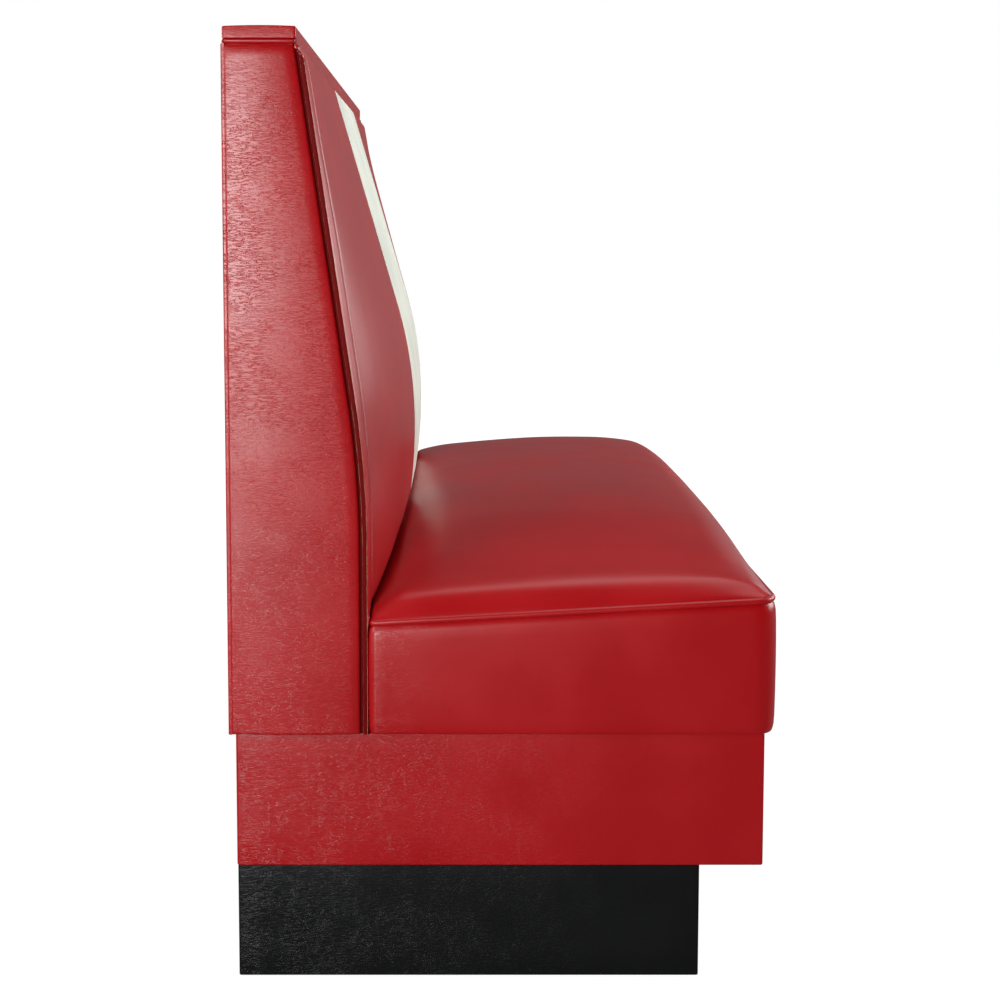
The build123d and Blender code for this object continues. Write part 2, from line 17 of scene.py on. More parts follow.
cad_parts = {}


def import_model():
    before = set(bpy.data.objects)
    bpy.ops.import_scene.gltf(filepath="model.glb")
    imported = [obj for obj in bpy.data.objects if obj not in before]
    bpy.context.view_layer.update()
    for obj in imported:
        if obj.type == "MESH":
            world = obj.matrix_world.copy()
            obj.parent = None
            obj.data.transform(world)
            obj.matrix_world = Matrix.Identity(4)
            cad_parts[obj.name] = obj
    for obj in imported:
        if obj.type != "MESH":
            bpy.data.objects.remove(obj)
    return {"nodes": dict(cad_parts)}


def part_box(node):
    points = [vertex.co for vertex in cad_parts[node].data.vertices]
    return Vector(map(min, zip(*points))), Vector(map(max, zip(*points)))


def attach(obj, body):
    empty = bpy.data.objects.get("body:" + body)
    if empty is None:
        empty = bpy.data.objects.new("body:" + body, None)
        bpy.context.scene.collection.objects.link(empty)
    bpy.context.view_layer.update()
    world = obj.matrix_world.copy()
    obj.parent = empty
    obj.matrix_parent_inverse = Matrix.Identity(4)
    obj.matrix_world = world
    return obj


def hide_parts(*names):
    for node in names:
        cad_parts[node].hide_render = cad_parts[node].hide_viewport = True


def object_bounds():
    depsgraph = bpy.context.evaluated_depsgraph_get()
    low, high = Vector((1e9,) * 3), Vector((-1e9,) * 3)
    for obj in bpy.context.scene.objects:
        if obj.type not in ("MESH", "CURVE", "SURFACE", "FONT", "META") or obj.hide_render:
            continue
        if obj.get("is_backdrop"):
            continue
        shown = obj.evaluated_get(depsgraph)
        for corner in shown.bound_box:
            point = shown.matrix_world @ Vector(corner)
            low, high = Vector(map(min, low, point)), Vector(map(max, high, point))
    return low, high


LOG = logging.getLogger("booth")
BODY = "root"
MM = 0.001
SAME = 1e-6
TOUCH = 1e-5
QUARTER = math.pi / 2
CRISP_ANGLE = math.radians(40)
CORNER_ANGLE = 1.0
FACING = 0.9
NOISE_SPREAD = (0.3, 0.7)
WHITE_LIGHT = (1, 1, 1, 1)

Pair = tuple[float, float]
Triple = tuple[float, float, float]
Shares = tuple[Pair, ...]


class Slot(Enum):
    """The record's material slots."""

    RED = "red_vinyl"
    WHITE = "white_vinyl"
    BLACK = "black_vinyl"
    FOAM = "foam"
    PLYWOOD = "plywood"
    HARDWOOD = "hardwood"
    HARDBOARD = "hardboard"
    FIXING = "fixing_steel"
    GLIDE = "glide_steel"
    DUST_CLOTH = "dust_cloth"


class End(Enum):
    """The two ends of the booth, by the sign of their X."""

    LEFT = -1
    RIGHT = 1

    @property
    def side(self) -> str:
        """The word that names of nodes and pieces end with."""
        return self.name.lower()


class Round(Enum):
    """What a bevel rounds, in the mesh tools' own words."""

    EDGES = "EDGES"
    CORNERS = "VERTICES"


# Curves and outlines


@dataclass(frozen=True)
class ShareCurve:
    """A smooth curve through pairs of (way, share) that never overshoots them."""

    points: Shares

    def _slope(self, index: int) -> float:
        """The curve's slope at one of its points.

        Args:
            index: Which of the points.

        Returns:
            The slope there.
        """
        steps = [(b[1] - a[1]) / (b[0] - a[0]) for a, b in zip(self.points, self.points[1:])]
        if index in (0, len(steps)):
            return steps[0] if index == 0 else steps[-1]
        before, after = steps[index - 1], steps[index]
        return 0.0 if before * after <= 0 else 2 * before * after / (before + after)

    def at(self, way: float) -> float:
        """The share at a way.

        Args:
            way: Place along the curve; past its ends the curve stays level.

        Returns:
            The share there.
        """
        if way <= self.points[0][0]:
            return self.points[0][1]
        for index, (start, stop) in enumerate(zip(self.points, self.points[1:])):
            if way <= stop[0]:
                width = stop[0] - start[0]
                t = (way - start[0]) / width
                rise = t * t * (3 - 2 * t)
                lead = width * self._slope(index) * t * (1 - t) ** 2
                trail = width * self._slope(index + 1) * t * t * (t - 1)
                return start[1] + (stop[1] - start[1]) * rise + lead + trail
        return self.points[-1][1]

    def mirrored(self) -> "ShareCurve":
        """The curve read from its other end."""
        return ShareCurve(tuple((1 - way, 1 - share) for way, share in self.points[::-1]))


def quarter_round(way: float) -> float:
    """How far a quarter ellipse has risen at a way from its foot, both as shares."""
    return math.sqrt(max(0.0, 1 - (1 - min(max(way, 0.0), 1.0)) ** 2))


def eased(place: float, power: float) -> float:
    """A place from -1 to 1, moved towards the nearer end so that cells crowd there."""
    return math.copysign(1 - (1 - abs(place)) ** power, place)


@dataclass(frozen=True)
class Space:
    """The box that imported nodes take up."""

    low: Vector
    high: Vector

    @classmethod
    def of(cls, *nodes: str) -> "Space":
        """The box round one or more nodes.

        Args:
            *nodes: The nodes' names.

        Returns:
            Their common box.
        """
        boxes = [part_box(node) for node in nodes]
        low = Vector([min(box[0][axis] for box in boxes) for axis in range(3)])
        high = Vector([max(box[1][axis] for box in boxes) for axis in range(3)])
        return cls(low, high)


@dataclass(frozen=True)
class RoundedPlan:
    """A rectangle with rounded corners, seen from above."""

    half_x: float
    front_y: float
    rear_y: float
    radius: float
    rear_radius: float

    def corner(self, y: float) -> float:
        """The radius of the corners in the half, front or rear, that a place lies in."""
        return self.radius if y < (self.front_y + self.rear_y) / 2 else self.rear_radius

    def core(self, point: Vector) -> Vector:
        """Finds a point's core on the middle outline, which the corners turn about.

        Args:
            point: A point of the plan.

        Returns:
            The nearest point of the middle outline.
        """
        reach = self.half_x - self.corner(point.y)
        x = min(max(point.x, -reach), reach)
        y = min(max(point.y, self.front_y + self.radius), self.rear_y - self.rear_radius)
        return Vector((x, y))

    def inside(self, inset: float) -> "RoundedPlan":
        """Draws the plan in on all sides.

        Args:
            inset: How far each side and corner moves in.

        Returns:
            The smaller plan.
        """
        return RoundedPlan(
            self.half_x - inset,
            self.front_y + inset,
            self.rear_y - inset,
            self.radius - inset,
            self.rear_radius - inset,
        )

    def pushed(self, home: Vector, outset: float) -> Vector:
        """Moves a point of the outline outwards; a large inset meets the inner rectangle.

        Args:
            home: The point.
            outset: How far it moves; below zero it moves inwards.

        Returns:
            Its new place.
        """
        radius = self.corner(home.y)
        if radius + outset < 0:
            x = min(max(home.x, -self.half_x - outset), self.half_x + outset)
            y = min(max(home.y, self.front_y - outset), self.rear_y + outset)
            return Vector((x, y))
        core = self.core(home)
        away = (Vector(home[:2]) - core).normalized()
        return core + away * (radius + outset)

    def outline(self, bm: BMesh, segments: int, cuts: int) -> list[BMEdge]:
        """Draws the plan as one closed loop of edges.

        Args:
            bm: The mesh that takes the loop.
            segments: Steps round each corner.
            cuts: Points along each straight side.

        Returns:
            The loop's edges.
        """
        bmesh.ops.create_grid(bm, x_segments=1, y_segments=1, size=0.5)
        width, depth = 2 * self.half_x, self.rear_y - self.front_y
        bmesh.ops.scale(bm, verts=bm.verts, vec=(width, depth, 1))
        bmesh.ops.translate(bm, verts=bm.verts, vec=(0, (self.front_y + self.rear_y) / 2, 0))
        for radius in sorted({self.radius, self.rear_radius}):
            corners = [
                vert
                for vert in bm.verts
                if abs(abs(vert.co.x) - self.half_x) < SAME
                and min(abs(vert.co.y - y) for y in (self.front_y, self.rear_y)) < SAME
                and self.corner(vert.co.y) == radius
            ]
            rounded(bm, corners, radius, segments, Round.CORNERS)
        sides = sorted(bm.edges, key=lambda edge: edge.calc_length())[-4:]
        bmesh.ops.subdivide_edges(bm, edges=sides, cuts=cuts)
        bmesh.ops.delete(bm, geom=bm.faces[:], context="FACES_ONLY")
        return bm.edges[:]

    def trim_corners(self, bm: BMesh, steps: int) -> None:
        """Cuts a surface to the plan's rounded corners.

        Args:
            bm: A surface that ends at the plan's straight sides.
            steps: Cuts round each corner.
        """
        for x_sign in (-1, 1):
            for y_sign, radius in ((-1, self.radius), (1, self.rear_radius)):
                y = self.front_y + radius if y_sign < 0 else self.rear_y - radius
                centre = Vector((x_sign * (self.half_x - radius), y, 0))
                for step in range(1, steps):
                    angle = QUARTER * step / steps
                    away = Vector((x_sign * math.cos(angle), y_sign * math.sin(angle), 0))
                    cut(bm, centre + away * radius, away, clear_outer=True)


# Meshes


def new_verts(made: dict[str, Any]) -> list[BMVert]:
    """The vertices among what an extrusion made."""
    return [item for item in made["geom"] if isinstance(item, BMVert)]


def new_edges(made: dict[str, Any]) -> list[BMEdge]:
    """The edges among what an extrusion made."""
    return [item for item in made["geom"] if isinstance(item, BMEdge)]


def open_edges(bm: BMesh) -> list[BMEdge]:
    """The edges that have a face on one side only."""
    return [edge for edge in bm.edges if edge.is_boundary]


def block(size: Vector, middle: Vector) -> BMesh:
    """Makes a box.

    Args:
        size: Its length, depth and height.
        middle: Where its middle is.

    Returns:
        The box's mesh.
    """
    bm = bmesh.new()
    bmesh.ops.create_cube(bm, size=1.0)
    bmesh.ops.scale(bm, verts=bm.verts, vec=size)
    bmesh.ops.translate(bm, verts=bm.verts, vec=middle)
    return bm


def cut(bm: BMesh, spot: Vector, normal: Vector, clear_outer: bool = False) -> None:
    """Cuts a mesh along a plane.

    Args:
        bm: The mesh.
        spot: A point of the plane.
        normal: The plane's normal.
        clear_outer: Whether what lies beyond the plane goes.
    """
    geometry = bm.verts[:] + bm.edges[:] + bm.faces[:]
    bmesh.ops.bisect_plane(
        bm, geom=geometry, dist=SAME, plane_co=spot, plane_no=normal, clear_outer=clear_outer
    )


def rounded(bm: BMesh, parts: list[Any], radius: float, segments: int, kind: Round = Round.EDGES) -> None:
    """Rounds edges or corners of a mesh.

    Args:
        bm: The mesh.
        parts: Its edges or vertices.
        radius: How far the round reaches.
        segments: Steps round it.
        kind: Whether the parts are edges or corners.
    """
    bmesh.ops.bevel(
        bm, geom=parts, offset=radius, segments=segments, profile=0.5, affect=kind.value, material=-1
    )


def thickened(bm: BMesh, skin: float) -> None:
    """Gives a sheet its thickness."""
    bmesh.ops.recalc_face_normals(bm, faces=bm.faces[:])
    bmesh.ops.solidify(bm, geom=bm.faces[:], thickness=skin)


def face_outwards(bm: BMesh) -> None:
    """Turns a closed mesh's faces outwards.

    Args:
        bm: The mesh. A bent one can come out of the recalculation inside out, so its volume decides.
    """
    bmesh.ops.recalc_face_normals(bm, faces=bm.faces[:])
    if bm.calc_volume(signed=True) < 0:
        bmesh.ops.reverse_faces(bm, faces=bm.faces[:])


def grown_wall(
    bm: BMesh,
    loop: list[BMEdge],
    plan: RoundedPlan,
    rings: Sequence[Pair],
    lift: Callable[[Vector, float], float],
) -> None:
    """Extrudes a plan's loop into a wall, ring by ring.

    Args:
        bm: The mesh that holds the loop.
        loop: The plan's edges, which become the first ring.
        plan: The plan that outsets are measured from.
        rings: Pairs of (level, outset), from the first ring to the last.
        lift: The height of a level above a place in the plan.
    """
    home = bm.verts.layers.float_vector.new("home")
    for vert in bm.verts:
        vert[home] = vert.co

    def settle(verts: Iterable[BMVert], level: float, outset: float) -> None:
        """Moves a ring's vertices to its level and outset."""
        for vert in verts:
            x, y = plan.pushed(vert[home], outset)
            vert.co = (x, y, lift(Vector((x, y)), level))

    settle({vert for edge in loop for vert in edge.verts}, *rings[0])
    for level, outset in rings[1:]:
        made = bmesh.ops.extrude_edge_only(bm, edges=loop)
        settle(new_verts(made), level, outset)
        loop = new_edges(made)
    bmesh.ops.remove_doubles(bm, verts=bm.verts[:], dist=TOUCH)


def mapped_grid(columns: int, rows: int, place: Callable[[float, float], Vector]) -> BMesh:
    """A grid whose cells are laid over a surface.

    Args:
        columns: Cells across.
        rows: Cells down.
        place: The point of the surface at a pair of shares from 0 to 1.

    Returns:
        The surface's mesh.
    """
    bm = bmesh.new()
    bmesh.ops.create_grid(bm, x_segments=columns, y_segments=rows, size=0.5)
    for vert in bm.verts:
        vert.co = place(vert.co.x + 0.5, vert.co.y + 0.5)
    return bm


def mesh_of(name: str, bm: BMesh) -> Mesh:
    """Turns a bmesh into a mesh.

    Args:
        name: The mesh's name.
        bm: What it is made from; it is freed.

    Returns:
        The mesh.
    """
    mesh = bpy.data.meshes.new(name)
    bm.to_mesh(mesh)
    bm.free()
    return mesh


def linked(name: str, data: ID) -> Object:
    """Adds an object to the scene.

    Args:
        name: The object's name.
        data: Its mesh, lamp or camera.

    Returns:
        The object.
    """
    thing = bpy.data.objects.new(name, data)
    bpy.context.scene.collection.objects.link(thing)
    return thing


@dataclass
class Piping:
    """Round piping led level along straight runs and round corners."""

    radius: float
    sides: int = 16
    bm: BMesh = field(default_factory=bmesh.new)
    ring: list[Any] = field(default_factory=list)
    place: Vector = field(default_factory=Vector)
    heading: float = 0.0

    def ahead(self) -> Vector:
        """The direction that the piping is led in."""
        return Vector((math.cos(self.heading), math.sin(self.heading), 0))

    def start(self, place: Vector, heading: float) -> None:
        """Begins the piping with a ring of edges.

        Args:
            place: The centre of the ring.
            heading: The direction led in, as an angle from +X.
        """
        self.place, self.heading = place.copy(), heading
        turn = Matrix.Rotation(heading, 4, "Z") @ Matrix.Rotation(QUARTER, 4, "Y")
        spot = Matrix.Translation(place) @ turn
        bmesh.ops.create_circle(self.bm, segments=self.sides, radius=self.radius, matrix=spot)
        self.ring = self.bm.verts[:] + self.bm.edges[:]

    def run(self, length: float, steps: int = 1) -> None:
        """Leads the piping straight on.

        Args:
            length: How far.
            steps: Rings along the run.
        """
        for _ in range(steps):
            edges = [item for item in self.ring if isinstance(item, BMEdge)]
            made = bmesh.ops.extrude_edge_only(self.bm, edges=edges)
            verts = new_verts(made)
            bmesh.ops.translate(self.bm, verts=verts, vec=self.ahead() * (length / steps))
            self.ring = verts + new_edges(made)
        self.place += self.ahead() * length

    def turn(self, radius: float, angle: float, steps: int = 10) -> None:
        """Leads the piping round a bend.

        Args:
            radius: The bend's radius at the piping's centre.
            angle: How far it turns; a positive angle turns left.
            steps: Rings round the bend.
        """
        left = Vector((-math.sin(self.heading), math.cos(self.heading), 0))
        centre = self.place + left * math.copysign(1, angle) * radius
        made = bmesh.ops.spin(
            self.bm,
            geom=self.ring,
            cent=centre,
            axis=(0, 0, 1),
            angle=angle,
            steps=steps,
            use_duplicate=False,
        )
        last = made["geom_last"]
        self.ring = [item for item in last if not isinstance(item, BMFace)]
        self.place = centre + Matrix.Rotation(angle, 3, "Z") @ (self.place - centre)
        self.heading += angle

    def join_up(self) -> None:
        """Closes a loop that has come back to its start."""
        bmesh.ops.remove_doubles(self.bm, verts=self.bm.verts[:], dist=self.radius / 20)

    def round_ends(self, steps: int = 4) -> None:
        """Closes both open ends with domes.

        Args:
            steps: Rings up each dome.
        """
        for loop in self._end_loops():
            verts = list({vert for edge in loop for vert in edge.verts})
            centre = sum((vert.co for vert in verts), Vector()) / len(verts)
            first = loop[0].verts[0]
            inside = next(e for e in first.link_edges if e not in loop and not e.is_boundary)
            outwards = (first.co - inside.other_vert(first).co).normalized()
            edges = loop
            for step in range(1, steps + 1):
                angle = QUARTER * step / (steps + 1)
                made = bmesh.ops.extrude_edge_only(self.bm, edges=edges)
                for vert in new_verts(made):
                    away = vert.co - centre
                    away -= outwards * away.dot(outwards)
                    away.normalize()
                    reach = away * math.cos(angle) + outwards * math.sin(angle)
                    vert.co = centre + reach * self.radius
                edges = new_edges(made)
            bmesh.ops.contextual_create(self.bm, geom=edges)

    def _end_loops(self) -> list[list[BMEdge]]:
        """Finds the open rings.

        Returns:
            One list of edges for each.
        """
        left = set(open_edges(self.bm))
        loops = []
        while left:
            loop, front = [], [left.pop()]
            while front:
                edge = front.pop()
                loop.append(edge)
                near = {e for vert in edge.verts for e in vert.link_edges} & left
                left -= near
                front += near
            loops.append(loop)
        return loops


# Finishes


class NodeSheet:
    """The node tree of a material or a world, with short calls to add nodes and join them."""

    def __init__(self, owner: Material | World) -> None:
        """Empties the owner's node tree.

        Args:
            owner: The material or world that the nodes belong to.
        """
        owner.use_nodes = True
        self.owner = owner
        self.tree = owner.node_tree
        self.tree.nodes.clear()

    @classmethod
    def named(cls, name: str) -> "NodeSheet":
        """The sheet of a new material."""
        return cls(bpy.data.materials.new(name))

    def add(self, kind: str, sockets: dict[Any, Any] | None = None, **settings: Any) -> Node:
        """Adds a node.

        Args:
            kind: The node's type, without its ShaderNode prefix.
            sockets: Values or output sockets for its inputs, by name or index.
            **settings: The node's own properties.

        Returns:
            The node.
        """
        node = self.tree.nodes.new("ShaderNode" + kind)
        for key, value in settings.items():
            setattr(node, key, value)
        for key, value in (sockets or {}).items():
            if isinstance(value, NodeSocket):
                self.tree.links.new(value, node.inputs[key])
            else:
                node.inputs[key].default_value = value
        return node

    def math(self, operation: str, *values: Any) -> NodeSocket:
        """The result of a math node."""
        return self.add("Math", dict(enumerate(values)), operation=operation).outputs[0]

    def vector(self, operation: str, sockets: dict[Any, Any]) -> NodeSocket:
        """The result of a vector math node."""
        node = self.add("VectorMath", sockets, operation=operation)
        return node.outputs["Value" if operation == "LENGTH" else "Vector"]

    def place(self) -> NodeSocket:
        """Where a point lies in the booth's frame."""
        return self.add("TexCoord").outputs["Object"]

    def along(self, axis: str) -> NodeSocket:
        """Where a point lies along one axis of the booth's frame."""
        return self.add("SeparateXYZ", {0: self.place()}).outputs[axis]

    def stretched(self, vector: Any, scale: Triple) -> NodeSocket:
        """Coordinates scaled along each axis."""
        return self.add("Mapping", {"Vector": vector, "Scale": scale}).outputs[0]

    def noise(
        self, vector: Any, scale: float, detail: float = 2.0, roughness: float = 0.5, output: str = "Fac"
    ) -> NodeSocket:
        """A noise texture on a vector."""
        sockets = {"Vector": vector, "Scale": scale, "Detail": detail, "Roughness": roughness}
        return self.add("TexNoise", sockets).outputs[output]

    def ranged(
        self, value: Any, low: float, high: float, start: float = 0.0, stop: float = 1.0
    ) -> NodeSocket:
        """A value between low and high, eased to lie between start and stop."""
        sockets = {"Value": value, "From Min": low, "From Max": high, "To Min": start, "To Max": stop}
        return self.add("MapRange", sockets, interpolation_type="SMOOTHSTEP").outputs["Result"]

    def blend(self, factor: Any, first: Any, second: Any) -> NodeSocket:
        """A mix of two colours."""
        return self.add("Mix", {0: factor, 6: first, 7: second}, data_type="RGBA").outputs[2]

    def glow(self, strength: Any) -> Node:
        """White light sent out at a strength."""
        return self.add("Emission", {"Color": WHITE_LIGHT, "Strength": strength})

    def finish(self, shader: Node) -> Material:
        """Joins a shader to the output and returns the material."""
        self.add("OutputMaterial", {"Surface": shader.outputs[0]})
        return self.owner

    def surface(
        self, colour: Any, roughness: Any, height: Any, more: dict[str, float] | None = None
    ) -> Material:
        """Finishes the material with a shader and a relief.

        Args:
            colour: The base colour.
            roughness: The roughness.
            height: The relief's height in metres.
            more: Constants for further sockets of the shader.

        Returns:
            The material.
        """
        relief = self.add("Bump", {"Strength": 1.0, "Distance": 1.0, "Height": height})
        sockets = {"Base Color": colour, "Roughness": roughness, "Normal": relief.outputs[0]}
        return self.finish(self.add("BsdfPrincipled", sockets | (more or {})))


def solid(colour: Triple, share: float = 1.0) -> tuple[float, float, float, float]:
    """A colour socket's value, with its lightness scaled by a share."""
    return (colour[0] * share, colour[1] * share, colour[2] * share, 1.0)


@dataclass(frozen=True)
class Creases:
    """Fine level creases pressed into a vinyl, stronger towards the booth's rear; their colour is also
    painted darker, a painted shade in the creases.
    """

    depth: float = 0.12 * MM
    length: float = 14 * MM
    height: float = 1.8 * MM
    line_share: float = 0.065
    warp_share: float = 0.5
    warp_heights: float = 3.0
    patch: float = 55 * MM
    patch_spread: Pair = (0.34, 0.62)
    least: float = 0.35
    rear_y: float = 0.2
    front_y: float = -0.25
    front_share: float = 0.25
    # Painted shade: how strongly, and down to what share of the vinyl's colour, the creases are painted
    # darker.
    tint: float = 0.3
    tint_shade: float = 0.75

    def strength(self, sheet: NodeSheet) -> NodeSocket:
        """How deep the creases go at a point.

        Args:
            sheet: The material's nodes.

        Returns:
            The share of their depth.
        """
        place = sheet.place()
        warp = sheet.noise(place, self.warp_share / self.length, output="Color")
        bend = sheet.vector("SUBTRACT", {0: warp, 1: (0.5, 0.5, 0.5)})
        shift = sheet.vector("SCALE", {0: bend, "Scale": self.height * self.warp_heights})
        bent = sheet.vector("ADD", {0: place, 1: shift})
        flat = sheet.stretched(bent, (1 / self.length, 1 / self.length, 1 / self.height))
        waves = sheet.noise(flat, 1.0, 2.5, 0.55)
        off_line = sheet.math("ABSOLUTE", sheet.math("SUBTRACT", waves, 0.5))
        line = sheet.ranged(off_line, 0.0, self.line_share, 1.0, 0.0)
        cloud = sheet.noise(place, 1 / self.patch)
        patch = sheet.ranged(cloud, *self.patch_spread, self.least, 1.0)
        rear = sheet.ranged(sheet.along("Y"), self.front_y, self.rear_y, self.front_share, 1.0)
        return sheet.math("MULTIPLY", sheet.math("MULTIPLY", line, patch), rear)


@dataclass(frozen=True)
class Vinyl:
    """Satin upholstery vinyl with a fine pebble grain."""

    name: str
    slot: Slot
    colour: Triple
    roughness: float = 0.32
    roughness_spread: float = 0.02
    reflection: float = 0.5
    grain_size: float = 1.3 * MM
    grain_depth: float = 0.03 * MM
    wave_size: float = 60 * MM
    wave_depth: float = 0.12 * MM
    tone_scale: float = 9.0
    tone_shares: Pair = (0.94, 1.05)
    creases: Creases | None = None

    def material(self) -> Material:
        """Makes the finish's material.

        Returns:
            The material.
        """
        sheet = NodeSheet.named(self.name)
        place = sheet.place()
        grain = sheet.noise(place, 1 / self.grain_size, 1.0)
        wave = sheet.noise(place, 1 / self.wave_size, 1.0)
        pebbles = sheet.math("MULTIPLY", grain, self.grain_depth)
        height = sheet.math("MULTIPLY_ADD", wave, self.wave_depth, pebbles)
        tone = sheet.ranged(sheet.noise(place, self.tone_scale, 3.0), *NOISE_SPREAD)
        colour = sheet.blend(tone, *(solid(self.colour, share) for share in self.tone_shares))
        if self.creases:
            crease = self.creases.strength(sheet)
            height = sheet.math("MULTIPLY_ADD", crease, -self.creases.depth, height)
            # Painted shade: the creases are painted darker as well as pressed in.
            shade = solid(self.colour, self.creases.tint_shade)
            colour = sheet.blend(sheet.math("MULTIPLY", crease, self.creases.tint), colour, shade)
        least, most = self.roughness - self.roughness_spread, self.roughness + self.roughness_spread
        roughness = sheet.ranged(tone, 0.0, 1.0, least, most)
        return sheet.surface(colour, roughness, height, {"Specular IOR Level": self.reflection})


@dataclass(frozen=True)
class Wood:
    """Sawn or sliced wood with its grain along one axis."""

    name: str
    slot: Slot
    light: Triple
    dark: Triple
    grain: Triple = (6.0, 90.0, 90.0)
    pore_scale: float = 7.0
    pore_depth: float = 0.08 * MM
    roughness: Pair = (0.70, 0.57)

    def material(self) -> Material:
        """Makes the finish's material.

        Returns:
            The material.
        """
        sheet = NodeSheet.named(self.name)
        place = sheet.stretched(sheet.place(), self.grain)
        rings = sheet.ranged(sheet.noise(place, 1.0, 4.0, 0.6), 0.35, 0.65)
        pores = sheet.noise(place, self.pore_scale)
        colour = sheet.blend(rings, solid(self.dark), solid(self.light))
        roughness = sheet.ranged(pores, *NOISE_SPREAD, *self.roughness)
        return sheet.surface(colour, roughness, sheet.math("MULTIPLY", pores, self.pore_depth))


@dataclass(frozen=True)
class Porous:
    """Foam, hardboard or felt: a matt body full of small pits or fibres."""

    name: str
    slot: Slot
    light: Triple
    dark: Triple
    pit_size: float
    pit_depth: float
    cloud_share: float = 0.4
    cloud_spread: Pair = (0.2, 0.8)
    roughness: Pair = (0.82, 0.9)

    def material(self) -> Material:
        """Makes the finish's material.

        Returns:
            The material.
        """
        sheet = NodeSheet.named(self.name)
        place = sheet.place()
        pits = sheet.add("TexVoronoi", {"Vector": place, "Scale": 1 / self.pit_size})
        cells = pits.outputs["Distance"]
        cloud = sheet.noise(place, 0.1 / self.pit_size, 3.0)
        shade = sheet.ranged(cloud, *self.cloud_spread, 0.0, self.cloud_share)
        pitted = sheet.blend(sheet.ranged(cells, 0.1, 0.6), solid(self.dark), solid(self.light))
        colour = sheet.blend(shade, pitted, solid(self.dark))
        roughness = sheet.ranged(cloud, *self.cloud_spread, *self.roughness)
        return sheet.surface(colour, roughness, sheet.math("MULTIPLY", cells, self.pit_depth))


@dataclass(frozen=True)
class Steel:
    """Plated or blackened steel with fine wear."""

    name: str
    slot: Slot
    colour: Triple
    roughness: float
    metallic: float = 1.0
    worn_share: float = 0.8
    worn_roughness: float = 0.12
    wear_scale: float = 160.0
    scratch_scale: Triple = (900.0, 900.0, 60.0)
    scratch_depth: float = 0.01 * MM

    def material(self) -> Material:
        """Makes the finish's material.

        Returns:
            The material.
        """
        sheet = NodeSheet.named(self.name)
        place = sheet.place()
        wear = sheet.noise(place, self.wear_scale, 4.0, 0.6)
        scratch = sheet.noise(sheet.stretched(place, self.scratch_scale), 1.0)
        worn, whole = solid(self.colour, self.worn_share), solid(self.colour)
        colour = sheet.blend(sheet.ranged(wear, *NOISE_SPREAD), worn, whole)
        most = self.roughness + self.worn_roughness
        roughness = sheet.ranged(wear, *NOISE_SPREAD, most, self.roughness)
        height = sheet.math("MULTIPLY", scratch, self.scratch_depth)
        return sheet.surface(colour, roughness, height, {"Metallic": self.metallic})


RED: Triple = (0.37, 0.001, 0.0035)
# Painted shade: a darker, duller copy of the red vinyl for the board wraps, standing in for the shade in the
# groove beside the end panels.
PAINTED_SHADE_RED: Triple = (0.13, 0.0006, 0.0012)
BLACK: Triple = (0.0075, 0.0078, 0.0078)
WHITE: Triple = (0.84, 0.88, 0.77)
FINE_CREASES = Creases()
REAR_CREASES = Creases(rear_y=0.16, front_y=0.06, front_share=0.06)

RED_SMOOTH = Vinyl("red_vinyl_smooth", Slot.RED, RED, roughness=0.34)
RED_PAINTED_GROOVE_SHADE = Vinyl("red_vinyl_painted_groove_shade", Slot.RED, PAINTED_SHADE_RED, roughness=0.5, reflection=0.05)
RED_CREASED = Vinyl("red_vinyl_creased", Slot.RED, RED, creases=FINE_CREASES)
RED_BOXING = Vinyl("red_vinyl_boxing", Slot.RED, RED, creases=REAR_CREASES)
WHITE_SMOOTH = Vinyl("white_vinyl_smooth", Slot.WHITE, WHITE, roughness=0.4)
BLACK_CREASED = Vinyl("black_vinyl_creased", Slot.BLACK, BLACK, reflection=0.26, creases=FINE_CREASES)
PINE = Wood("pine_board", Slot.HARDWOOD, (0.62, 0.42, 0.24), (0.45, 0.27, 0.13))
BIRCH_PLY = Wood(
    "birch_plywood",
    Slot.PLYWOOD,
    light=(0.66, 0.49, 0.31),
    dark=(0.50, 0.34, 0.19),
    grain=(8.0, 60.0, 240.0),
)
BROWN_BOARD = Porous(
    "brown_hardboard",
    Slot.HARDBOARD,
    light=(0.20, 0.11, 0.055),
    dark=(0.12, 0.06, 0.03),
    pit_size=2 * MM,
    pit_depth=0.05 * MM,
)
SEAT_FOAM = Porous(
    "cushion_foam",
    Slot.FOAM,
    light=(0.75, 0.62, 0.30),
    dark=(0.52, 0.40, 0.18),
    pit_size=1.6 * MM,
    pit_depth=0.3 * MM,
)
BLACK_FELT = Porous(
    "black_dust_cloth",
    Slot.DUST_CLOTH,
    light=(0.02, 0.02, 0.02),
    dark=(0.008, 0.008, 0.008),
    pit_size=0.8 * MM,
    pit_depth=0.1 * MM,
)
ZINC = Steel("zinc_plated_steel", Slot.FIXING, (0.62, 0.62, 0.64), 0.34)
BLACK_STEEL = Steel("black_glide_steel", Slot.GLIDE, (0.02, 0.02, 0.02), 0.45, 0.0)


@functools.cache
def material_of(finish: Any) -> Material:
    """A finish's material, made once."""
    return finish.material()


# Sub-assemblies


